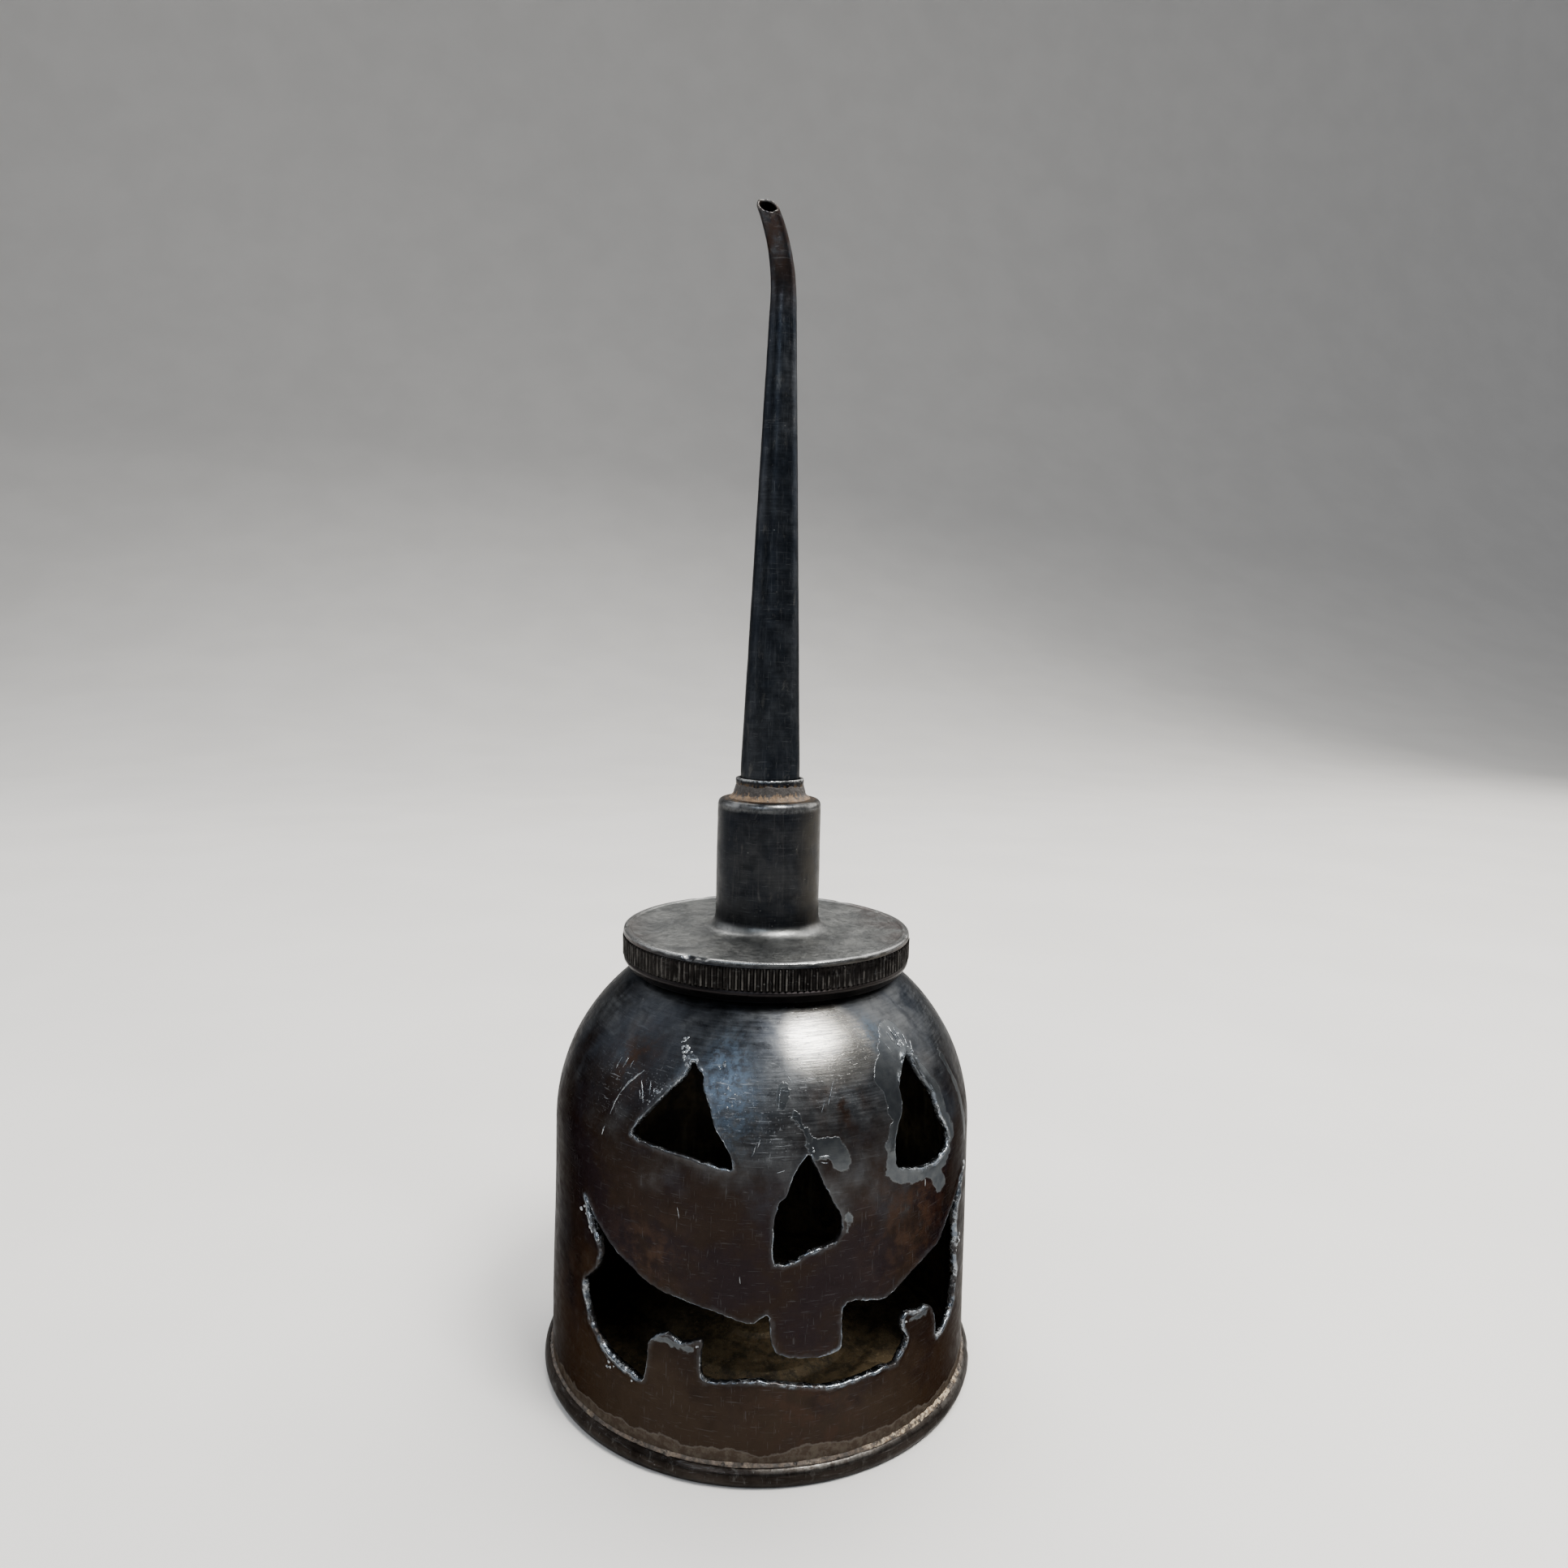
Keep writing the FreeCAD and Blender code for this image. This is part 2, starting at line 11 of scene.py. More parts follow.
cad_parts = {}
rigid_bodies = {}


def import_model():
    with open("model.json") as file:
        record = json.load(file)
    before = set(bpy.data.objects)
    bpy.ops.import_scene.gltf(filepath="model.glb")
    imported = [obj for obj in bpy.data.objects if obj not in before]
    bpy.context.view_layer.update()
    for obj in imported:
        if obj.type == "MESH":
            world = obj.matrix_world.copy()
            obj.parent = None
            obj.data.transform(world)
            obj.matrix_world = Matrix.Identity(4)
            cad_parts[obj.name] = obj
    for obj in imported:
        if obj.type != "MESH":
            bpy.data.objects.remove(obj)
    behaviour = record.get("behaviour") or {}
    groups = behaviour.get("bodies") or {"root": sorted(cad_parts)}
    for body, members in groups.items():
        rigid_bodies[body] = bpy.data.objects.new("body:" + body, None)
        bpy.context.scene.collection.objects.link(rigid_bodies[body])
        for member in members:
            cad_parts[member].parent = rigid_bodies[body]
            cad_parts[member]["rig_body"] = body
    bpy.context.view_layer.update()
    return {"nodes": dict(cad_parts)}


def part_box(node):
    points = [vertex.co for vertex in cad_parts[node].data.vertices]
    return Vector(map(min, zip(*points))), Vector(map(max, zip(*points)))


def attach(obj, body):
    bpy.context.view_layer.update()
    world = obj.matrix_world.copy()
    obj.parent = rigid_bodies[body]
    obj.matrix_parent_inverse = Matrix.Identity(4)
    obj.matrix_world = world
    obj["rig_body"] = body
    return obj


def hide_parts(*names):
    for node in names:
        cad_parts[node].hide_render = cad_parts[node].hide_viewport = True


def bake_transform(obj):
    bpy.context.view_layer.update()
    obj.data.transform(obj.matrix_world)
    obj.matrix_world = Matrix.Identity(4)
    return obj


# Looks of a spring-bottom oiler can whose wall is cut open into a pumpkin face.
# Lengths are millimetres until a mesh is made. +Z is up and the face looks along -Y.

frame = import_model()
MM = 0.001


def span(node):
    """Lowest and highest corner of a CAD node, in millimetres."""
    low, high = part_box(node)
    return low / MM, high / MM


SHELL_LOW, SHELL_HIGH = span("can_body")
_, BEAD_HIGH = span("bottom_rim")
CAP_LOW, CAP_HIGH = span("spout_cap")
DISC_LOW, _ = span("bottom_diaphragm")
SPOUT_LOW, _ = span("spout_tube")

# shell
UNROLL = 38.0
SEAM = math.pi * UNROLL
WALL_FOOT = SHELL_LOW.z + 0.15
WALL_TOP = 46.5
WALL_RADIUS_FOOT = SHELL_HIGH.x - 0.7
WALL_RADIUS_TOP = 37.75
WALL_TRAVEL = WALL_TOP - WALL_FOOT
DOME_ROUND = 33.0
DOME_CENTRE = WALL_RADIUS_TOP - DOME_ROUND
NECK_HOLE = 20.5
SHELL_THICK = 0.9
GRID = 1.2
EDGE_STEP = 0.33
RINGS = ((0.22, 1), (0.45, 1), (0.75, 2), (1.15, 3), (1.7, 4), (2.5, 5))
WALL_ROWS = 5

# Each cut-out is a closed outline: (degrees round from the front, height, how heavy the molten lip is).
LEFT_EYE = [
    (-33.3, 66.3, 0.9), (-28.4, 64.2, 0.15), (-28.4, 62.8, 0.1), (-25.7, 60.4, 0.15), (-24, 57.6, 0.2),
    (-21, 55.2, 0.2), (-18.8, 53, 0.3), (-18.8, 51.3, 0.4), (-20.7, 51.5, 0.35), (-29.6, 52.6, 0.3),
    (-36.2, 53, 0.2), (-40.1, 53.3, 0.2), (-44.3, 53.6, 0.3), (-47, 54.1, 0.4), (-43.3, 57.7, 0.35),
    (-39.9, 60.2, 0.45), (-36.8, 62.5, 0.5), (-34, 64, 0.7),
]
RIGHT_EYE = [
    (36, 65.3, 0.8), (37.3, 62, 0.55), (41, 58.5, 0.5), (42, 54.5, 0.45), (45.4, 50.5, 0.5),
    (44, 48.7, 0.6), (38.4, 47.4, 0.6), (32, 47.6, 0.6), (27.8, 48.3, 0.5), (22.8, 49.3, 0.4),
    (22.8, 53, 0.25), (24.5, 55.8, 0.25), (26.5, 57.1, 0.25), (27.8, 59.5, 0.25), (27.9, 61.3, 0.3),
    (31, 63.4, 0.5), (33.8, 64.8, 0.7),
]
NOSE = [
    (-0.3, 54.3, 0.4), (1.6, 51.3, 0.25), (3.9, 48.2, 0.2), (7.6, 43.9, 0.2), (8.3, 41, 0.25),
    (6.3, 39.4, 0.35), (3.5, 38.7, 0.35), (-1.1, 38.1, 0.4), (-3.1, 36.9, 0.4), (-6.6, 36.4, 0.35),
    (-9, 36.5, 0.25), (-8.9, 43.4, 0.15), (-7.8, 46.6, 0.15), (-5.8, 47.8, 0.15), (-4.7, 50.4, 0.15),
    (-2.9, 52.4, 0.2),
]
UPPER_LIP = [
    (-62.3, 41.3, 0.7), (-58.4, 38.6, 0.35), (-52.7, 35.6, 0.15), (-47.1, 33.5, 0.12), (-43, 32.2, 0.12),
    (-37.9, 30.5, 0.12), (-31.2, 29.8, 0.15), (-25.7, 29, 0.15), (-21.5, 28.4, 0.15), (-17, 27.4, 0.2),
    (-13.2, 26.9, 0.25),
]
UPPER_TOOTH = [
    (-11.2, 28, 0.25), (-10, 28.5, 0.25), (-9, 27.8, 0.2), (-9, 24.5, 0.2), (-7.8, 22.5, 0.2),
    (-6.6, 21.6, 0.25), (1.3, 20.8, 0.3), (6.7, 21.2, 0.4), (8.5, 22, 0.4), (8.3, 25.9, 0.3),
    (8.3, 28.2, 0.3), (9.8, 29.6, 0.3),
]
RIGHT_CORNER = [
    (18.2, 28.2, 0.3), (21.3, 28.2, 0.25), (27, 30.3, 0.25), (34, 32, 0.25), (40.7, 33.1, 0.25),
    (43.6, 35.4, 0.25), (48.1, 37.5, 0.3), (57, 42, 0.55), (53.5, 37.8, 0.8), (51, 34.4, 0.8),
]
RIGHT_CHEEK = [(52, 25.6, 0.8), (53.2, 22.6, 0.8), (51.1, 20.6, 0.7), (51.2, 18.5, 0.6), (44, 16, 0.5)]
RIGHT_LOWER_TOOTH = [
    (39.8, 15.6, 0.5), (39.5, 19.7, 0.3), (37.9, 22, 0.4), (35.2, 23, 0.6), (33.4, 22.8, 0.6),
    (27.8, 24, 0.5), (26.4, 23.4, 0.5), (25.8, 21.9, 0.5), (28.5, 19.2, 0.4), (27.1, 17.9, 0.5),
    (25.2, 16.8, 0.5),
]
LOWER_LIP = [
    (24.3, 15.7, 0.6), (20.1, 16.2, 0.6), (15.4, 15.8, 0.55), (10.3, 15.6, 0.55), (5.1, 15.5, 0.6),
    (-0.4, 16.2, 0.5), (-7.3, 16.9, 0.45), (-12.4, 17.4, 0.4), (-23.5, 16.5, 0.25),
]
LEFT_LOWER_TOOTH = [
    (-25.5, 17.6, 0.2), (-25.8, 20.7, 0.2), (-25.2, 22.7, 0.45), (-25.6, 23.4, 0.5), (-30.1, 22.2, 0.5),
    (-32, 22.6, 0.5), (-35.1, 23.3, 0.55), (-39, 21.4, 0.6), (-39.2, 18.5, 0.2), (-40.1, 14.6, 0.2),
]
LEFT_CHEEK = [
    (-41, 13.9, 0.4), (-44.5, 14.8, 0.8), (-50.5, 15.7, 0.9), (-55.8, 17.8, 0.9), (-59, 19.6, 0.85),
    (-60.3, 22, 0.7), (-61.8, 24.4, 0.6), (-62, 26.3, 0.5), (-57.2, 28.9, 0.35), (-55.2, 31.5, 0.5),
    (-55.3, 33.9, 0.9), (-60, 37.8, 0.95),
]
MOUTH = (
    UPPER_LIP + UPPER_TOOTH + RIGHT_CORNER + RIGHT_CHEEK
    + RIGHT_LOWER_TOOTH + LOWER_LIP + LEFT_LOWER_TOOTH + LEFT_CHEEK
)
CUTS = (LEFT_EYE, RIGHT_EYE, NOSE, MOUTH)

# (degrees, height, radius, depth) of knocks in the shell
DENTS = (
    (-24.6, 66.0, 1.3, 0.28), (-22.4, 65.4, 0.9, 0.2), (17, 63.5, 0.6, 0.16), (20, 62, 0.5, 0.16),
    (15.8, 61.3, 0.5, 0.14), (-60, 55, 7, 0.25), (62, 58, 8, 0.2), (118, 34, 10, 0.35), (-150, 52, 9, 0.3),
    (172, 20, 12, 0.25), (-108, 22, 7, 0.22),
)

# (degrees, depth, width) of knocks in the edge of the cap's flange
FLANGE_DENTS = (
    (-41, 0.75, 1.0), (-36.2, 0.5, 0.8), (5, 0.1, 0.8), (28, 0.12, 1.1), (63, 0.14, 0.9), (-95, 0.22, 0.9),
    (132, 0.2, 1.0), (-160, 0.15, 1.2),
)
# (degrees, depth) of knocks in the foot bead, and how wide they are
BEAD_NICKS = ((14, 0.16), (-33, 0.12), (71, 0.2), (-118, 0.2), (160, 0.15))
BEAD_NICK_WIDTH = 1.3

# (degrees, height) lines under the slate-grey glassy film, and how far it spreads from them
FILMS = (
    ([(22.5, 49), (22.5, 53), (27.2, 58), (27.4, 61), (33, 64.8)], 1.5),
    ([(25, 62.5), (29, 65.5), (34, 68)], 2.9),
    ([(25.6, 60.8), (25.4, 57.6)], 1.9),
    ([(36, 66), (38.5, 62.5), (42.5, 58.5), (43.5, 54.5), (46.4, 50.4)], 1.3),
    ([(23, 48.2), (30, 46.9), (38, 46.6), (44, 47.6)], 1.15),
    ([(37.5, 45.5), (40.8, 42.8)], 1.35),
    ([(1.6, 54.6), (6.3, 54.3), (7.6, 52.4)], 1.55),
    ([(-6.2, 63.4), (-6.8, 61.2)], 0.9),
    ([(-3.8, 59.4), (-1.6, 57.4), (-0.4, 55.6)], 0.6),
    ([(53, 62.5), (57, 56), (59, 47)], 0.8),
    ([(9.3, 43.5), (9.6, 41)], 0.45),
    ([(-37, 22.2), (-33, 21.9), (-28, 21.6)], 0.45),
    ([(29, 22.4), (35, 21.9)], 0.45),
)

# soft stains: (degrees, height, radius)
BLUE_STAINS = (
    (-21.5, 63.5, 4.2), (-19.5, 58.5, 4.4), (-23, 67.5, 3.5), (-33, 62.5, 3), (25, 69, 3), (150, 60, 8),
)
RUSSET_STAINS = (
    (9.4, 60.4, 5), (-40, 36, 6), (2, 12, 9), (-52, 64, 5), (30, 40, 9), (95, 30, 12), (-120, 48, 9),
)
# polished spots on the dome where the key light reflects: polished steel, and the lighter colour painted
# there is a painted highlight
POLISHED_AND_HIGHLIGHT = ((2, 69.5, 5.5), (10, 68.5, 6), (17, 68, 4.5), (8, 73, 4))
SCUFFS = (
    (-21, 61.5, 4.5), (-41, 61.5, 3.4), (-56, 60, 4), (4, 69, 7), (-9, 56.5, 3), (-118, 40, 8),
    (140, 64, 7),
)

# raised burrs and scratches: points (degrees, height), width
MARKS = (
    ([(-47.5, 63.3), (-49.3, 62.2), (-51.4, 60.9), (-53.3, 59.2)], 0.75),
    ([(-53.1, 59.4), (-54.3, 57.6), (-55.1, 55.6)], 0.35), ([(-56.2, 53.6), (-56.7, 52.1)], 0.4),
    ([(-57.4, 64.0), (-57.9, 62.2)], 0.45), ([(-54.8, 64.2), (-55.3, 62.7)], 0.5),
    ([(-52.4, 64.1), (-52.7, 63.1)], 0.35), ([(-47.2, 61.9), (-45.6, 60.4), (-44.6, 58.9)], 0.4),
    ([(-44.2, 62.2), (-43.2, 60.3)], 0.3), ([(-46.8, 60.6), (-45.8, 59.4)], 0.25),
    ([(-42.6, 61.4), (-41.8, 60.4)], 0.3), ([(31.8, 68.6), (33, 66.4)], 0.4),
    ([(33.6, 69.2), (34.3, 66.6)], 0.45), ([(35.6, 68.8), (35.9, 66.9)], 0.35),
    ([(38.4, 67.6), (37.6, 65.9)], 0.4), ([(40.2, 66.4), (38.6, 65)], 0.35),
    ([(28.8, 67.2), (29.8, 65.8)], 0.3), ([(1.9, 53.4), (4.9, 53.2)], 0.42),
    ([(2.3, 52.5), (4.1, 52.3)], 0.3), ([(-14.4, 53.6), (-13.2, 55.4)], 0.3),
    ([(-12.9, 54.9), (-12.4, 56.1)], 0.25), ([(5.2, 60.6), (7.6, 63.7)], 0.22),
    ([(3.2, 59.6), (4.4, 61.2)], 0.2), ([(-5.2, 64.8), (-4.2, 63.9)], 0.3),
    ([(-6.4, 51.6), (-8.4, 51.2)], 0.2), ([(-7.2, 63.2), (-7.9, 60.4)], 0.2),
    ([(33.4, 45.6), (33.6, 44.2)], 0.28), ([(-32, 44.6), (-31.6, 42.8)], 0.2),
    ([(-16.5, 34.6), (-16.2, 33.4)], 0.2),
)

# beads of spattered metal: (degrees, height, spread, count, largest radius)
SPATTER = (
    (-35.8, 67.2, 1.1, 16, 0.42), (-37.4, 68.4, 0.5, 7, 0.3), (-34.4, 65.4, 0.7, 10, 0.42),
    (-40.6, 60.8, 0.9, 10, 0.3), (-42.8, 60, 1.6, 12, 0.22), (-24, 65.9, 0.9, 9, 0.26),
    (-21.5, 62.5, 2.4, 16, 0.17), (35.4, 66.8, 1, 14, 0.34), (38, 64.8, 1, 10, 0.3),
    (-60.2, 38.6, 1.1, 18, 0.42), (-56.8, 35, 1, 14, 0.42), (-43, 14.2, 0.9, 9, 0.36),
    (-51, 15.4, 1.4, 12, 0.3), (54.2, 38.4, 1, 12, 0.36), (53.2, 29, 1.6, 12, 0.36), (-26, 23, 0.8, 7, 0.3),
    (26.5, 23, 0.8, 8, 0.3), (58.6, 41.2, 0.8, 9, 0.34), (0.6, 54.3, 0.6, 5, 0.2), (8.6, 22.4, 0.6, 5, 0.22),
)


# ---------------------------------------------------------------- numbers and noise

def soft_noise(points, scale, seed):
    """Noise from about -1 to 1 at each point, with features about 1/scale millimetres across."""
    shift = Vector((seed * 17.31, seed * 5.17, seed * 9.73))
    return np.array([noise.noise(Vector(point) * scale + shift) for point in points])


def with_zero(flat_points):
    """Unrolled points with a third coordinate of 0."""
    return np.column_stack([flat_points, np.zeros(len(flat_points))])


def tree_of(points):
    """Search tree of 3-D points."""
    tree = KDTree(len(points))
    for number, point in enumerate(points):
        tree.insert(point, number)
    tree.balance()
    return tree


def about_axis(angle, radius, height):
    """Points at angles round from the front, at a radius and height."""
    return np.stack([radius * np.sin(angle), -radius * np.cos(angle), height + np.zeros(len(angle))], axis=1)


def outline_across(outline):
    """Unit vectors square to a closed 2-D outline at each of its points."""
    tangent = np.roll(outline, -2, axis=0) - np.roll(outline, 2, axis=0)
    tangent /= np.linalg.norm(tangent, axis=1)[:, None] + 1e-9
    return np.stack([tangent[:, 1], -tangent[:, 0]], axis=1)


def ease(value, low, high):
    """Smooth step from 0 at low to 1 at high."""
    share = np.clip((value - low) / (high - low), 0, 1)
    return share * share * (3 - 2 * share)


def distance_to_line(points, line):
    """Distance of each 2-D point to an open line of 2-D corners."""
    best = np.full(len(points), 1e9)
    for start, end in zip(line, line[1:]):
        along = end - start
        share = np.clip(((points - start) @ along) / (along @ along), 0, 1)
        best = np.minimum(best, np.linalg.norm(points - start - share[:, None] * along, axis=1))
    return best


def inside(points, outline):
    """True for each 2-D point inside a closed outline."""
    found = np.zeros(len(points), bool)
    for (x1, y1), (x2, y2) in zip(outline, np.roll(outline, -1, axis=0)):
        crosses = (y1 > points[:, 1]) != (y2 > points[:, 1])
        rise = y2 - y1 if y2 != y1 else 1e-9
        found ^= crosses & (points[:, 0] < (x2 - x1) * (points[:, 1] - y1) / rise + x1)
    return found


# ---------------------------------------------------------------- mesh makers

def add_piece(name, points, faces, body, materials, replaces=(), values=None, face_slots=None):
    """Makes a smooth-shaded piece from millimetre points, riding on a CAD body."""
    mesh = bpy.data.meshes.new(name)
    corners = [tuple(int(corner) for corner in face) for face in faces]
    mesh.from_pydata((np.asarray(points) * MM).tolist(), [], corners)
    for material in materials:
        mesh.materials.append(material)
    if face_slots is not None:
        mesh.polygons.foreach_set("material_index", np.asarray(face_slots, np.int32))
    for label, numbers in (values or {}).items():
        layer = mesh.attributes.new(label, "FLOAT", "POINT")
        layer.data.foreach_set("value", np.asarray(numbers, np.float32))
    mesh.shade_smooth()
    mesh.update()
    piece = bpy.data.objects.new(name, mesh)
    bpy.context.scene.collection.objects.link(piece)
    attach(piece, body)
    if replaces:
        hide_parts(*replaces)
    return piece


def rounded(corners, step):
    """Closed profile through (radius, height, rounding) corners, with points at most a step apart."""
    spots = []
    count = len(corners)
    for index, (x, y, rounding) in enumerate(corners):
        here = Vector((x, y))
        before = Vector(corners[index - 1][:2]) - here
        after = Vector(corners[(index + 1) % count][:2]) - here
        if rounding <= 0:
            spots.append(here)
            continue
        half = before.angle(after) / 2
        reach = min(rounding / math.tan(half), 0.49 * before.length, 0.49 * after.length)
        start = here + before.normalized() * reach
        end = here + after.normalized() * reach
        pieces = max(3, int(rounding * (math.pi - 2 * half) / step))
        for number in range(pieces + 1):
            share = number / pieces
            spots.append(start * (1 - share) ** 2 + here * 2 * share * (1 - share) + end * share ** 2)
    dense = []
    for start, end in zip(spots, spots[1:] + spots[:1]):
        pieces = max(1, math.ceil((end - start).length / step))
        dense.extend(start.lerp(end, number / pieces) for number in range(pieces))
    return np.array([tuple(spot) for spot in dense])


def ring_faces(rings, per_ring, flip=False):
    """Four-cornered faces between closed rings of points, where the last ring joins the first."""
    faces = []
    for ring in range(rings):
        here = ring * per_ring
        there = ((ring + 1) % rings) * per_ring
        for spot in range(per_ring):
            after = (spot + 1) % per_ring
            face = (here + spot, there + spot, there + after, here + after)
            faces.append((face[0], *face[:0:-1]) if flip else face)
    return faces


def turned(profile, steps, shape):
    """Points and faces of a closed profile turned about Z. shape(angle, radius, height) moves its points."""
    angles = np.repeat(np.arange(steps) * 2 * math.pi / steps, len(profile))
    radius = np.tile(profile[:, 0], steps)
    height = np.tile(profile[:, 1], steps)
    points = about_axis(angles, *shape(angles, radius, height))
    return points, ring_faces(steps, len(profile))


def ring_noise(angles, radius, height, scale, seed):
    """Noise on a turned surface, without a seam."""
    return soft_noise(about_axis(angles, radius, height), scale, seed)


def angle_gap(angles, degrees):
    """Distance round the circle, in radians, from an angle given in degrees."""
    return np.abs((angles - math.radians(degrees) + math.pi) % (2 * math.pi) - math.pi)


def near(angles, degrees, width):
    """Bell-shaped weight that is 1 at an angle in degrees and fades over a width in radians."""
    return np.exp(-((angle_gap(angles, degrees) / width) ** 2))


def ridge_at(value, centre, width):
    """Bell-shaped weight that is 1 at a centre and fades over a width."""
    return np.exp(-(((value - centre) / width) ** 2))


def pile_on(points, faces, spots, sides):
    """Adds a part's points and faces to lists, its faces numbered after the points already there."""
    first = sum(len(part) for part in points)
    points.append(spots)
    faces.extend(tuple(first + corner for corner in side) for side in sides)


# ---------------------------------------------------------------- shell

def travel_of(height):
    """Travel up the shell's outer face at which it reaches a height."""
    if height <= WALL_TOP:
        return height - WALL_FOOT
    return WALL_TRAVEL + DOME_ROUND * math.asin((height - WALL_TOP) / DOME_ROUND)


def flat(corners):
    """Unrolled (across, travel) of (degrees, height) corners."""
    return np.array([(math.radians(corner[0]) * UNROLL, travel_of(corner[1])) for corner in corners])


def shell_frame(flat_points):
    """Smooth outer point and outward normal for each unrolled point."""
    angle = flat_points[:, 0] / UNROLL
    travel = flat_points[:, 1]
    swing = np.clip((travel - WALL_TRAVEL) / DOME_ROUND, 0, None)
    share = np.clip(travel / WALL_TRAVEL, 0, 1)
    wall = WALL_RADIUS_FOOT + (WALL_RADIUS_TOP - WALL_RADIUS_FOOT) * share
    radius = np.where(travel < WALL_TRAVEL, wall, DOME_CENTRE + DOME_ROUND * np.cos(swing))
    height = np.where(travel < WALL_TRAVEL, WALL_FOOT + travel, WALL_TOP + DOME_ROUND * np.sin(swing))
    return about_axis(angle, radius, height), about_axis(angle, np.cos(swing), np.sin(swing))


def shell_wobble(flat_points, points):
    """How far hand wear, slight unevenness and knocks move the shell in or out."""
    calm = ease(flat_points[:, 1], 2.5, 12) * (1 - ease(flat_points[:, 1], 68, 76))
    move = (0.11 * soft_noise(points, 0.045, 1) + 0.035 * soft_noise(points, 0.16, 2)) * calm
    for degrees, height, radius, depth in DENTS:
        centre = flat([(degrees, height)])
        gap = np.linalg.norm(flat_points - centre, axis=1) / radius
        move -= depth * np.exp(-gap * gap * 1.6)
        move += 0.25 * depth * np.exp(-((gap - 1.25) ** 2) * 9)
    return move


def on_shell(flat_points, lift):
    """Points a lift above the worn shell."""
    points, normals = shell_frame(flat_points)
    move = shell_wobble(flat_points, points) + lift
    return points + normals * np.reshape(move, (-1, 1)), normals


def torn_outline(corners, seed):
    """Closed unrolled outline with close points and a torn edge, and the lip weight at each point."""
    spots = np.column_stack([flat(corners), [corner[2] for corner in corners]])
    eased = []
    for here, after in zip(spots, np.roll(spots, -1, axis=0)):
        eased.extend((here * 0.8 + after * 0.2, here * 0.2 + after * 0.8))
    dense = []
    for here, after in zip(eased, eased[1:] + eased[:1]):
        pieces = max(1, math.ceil(np.linalg.norm((after - here)[:2]) / EDGE_STEP))
        dense.extend(here + (after - here) * number / pieces for number in range(pieces))
    dense = np.array(dense)
    outline = dense[:, :2]
    spread = with_zero(outline)
    tear = 0.13 * soft_noise(spread, 0.8, seed) + 0.12 * soft_noise(spread, 2.1, seed + 1)
    return outline + outline_across(outline) * tear[:, None], dense[:, 2]


def ring_seeds(outlines, edge_tree):
    """Unrolled points in rings just outside the outlines, away from every other outline."""
    rings = []
    for outline in outlines:
        across = outline_across(outline)
        if inside(outline + across * 0.05, outline).mean() > 0.5:
            across = -across
        for gap, stride in RINGS:
            for spot in (outline + across * gap)[::stride]:
                if edge_tree.find((*spot, 0))[2] > gap * 0.8:
                    rings.append(spot)
    rings = np.array(rings)
    for outline in outlines:
        rings = rings[~inside(rings, outline)]
    return rings


def grid_seeds(edge_tree, ring_tree):
    """Unrolled points in staggered rows over the whole shell, clear of the outlines and their rings."""
    top = WALL_TRAVEL + DOME_ROUND * math.acos((NECK_HOLE - DOME_CENTRE) / DOME_ROUND)
    columns = round(2 * SEAM / GRID)
    rows = round(top / GRID)
    kept = []
    for column in range(columns + 1):
        for row in range(rows + 1):
            slide = 0.5 if row % 2 and 0 < column < columns else 0
            spot = (-SEAM + 2 * SEAM * min(column + slide, columns) / columns, top * row / rows)
            if min(tree.find((*spot, 0))[2] for tree in (edge_tree, ring_tree)) > GRID / 2:
                kept.append(spot)
    return np.array(kept)


def triangulate(outlines):
    """Unrolled points and triangles of the shell with its cut-outs left open and its back seam joined."""
    edge_tree = tree_of(with_zero(np.concatenate(outlines)))
    rings = ring_seeds(outlines, edge_tree)
    grid = grid_seeds(edge_tree, tree_of(with_zero(rings)))
    spots = []
    edges = []
    for outline in outlines:
        first = len(spots)
        spots.extend(outline)
        count = len(outline)
        edges.extend((first + number, first + (number + 1) % count) for number in range(count))
    spots = [Vector((spot[0], spot[1])) for spot in [*spots, *rings, *grid]]
    found = delaunay_2d_cdt(spots, edges, [], 0, 1e-5)
    points = np.array([tuple(spot) for spot in found[0]])
    faces = np.array([tuple(face) for face in found[2]])
    centres = points[faces].mean(axis=1)
    keep = np.ones(len(faces), bool)
    for outline in outlines:
        keep &= ~inside(centres, outline)
    faces = faces[keep]
    left = {round(points[n, 1], 3): n for n in range(len(points)) if points[n, 0] < -SEAM + 1e-3}
    joined = np.arange(len(points))
    for number in range(len(points)):
        if points[number, 0] > SEAM - 1e-3:
            joined[number] = left.get(round(points[number, 1], 3), number)
    faces = joined[faces]
    used, faces = np.unique(faces, return_inverse=True)
    return points[used], faces.reshape(-1, 3)


def open_loops(faces):
    """Closed loops of edges that only one face uses, each in its faces' own direction."""
    directed = {(int(a), int(b)) for face in faces for a, b in zip(face, np.roll(face, -1))}
    after = {}
    for start, end in directed:
        if (end, start) not in directed:
            after[start] = end
    loops = []
    while after:
        start, end = next(iter(sorted(after.items())))
        loop = [start]
        while end in after:
            loop.append(end)
            following = after[end]
            del after[end]
            end = following
        after.pop(start, None)
        loops.append(loop if loop[0] != loop[-1] else loop[:-1])
    return loops


def stain(points, spots):
    """Sum of soft round stains at each unrolled point."""
    total = np.zeros(len(points))
    for degrees, height, radius in spots:
        gap = np.linalg.norm(points - flat([(degrees, height)]), axis=1) / radius
        total += np.exp(-gap * gap)
    return np.clip(total, 0, 1)


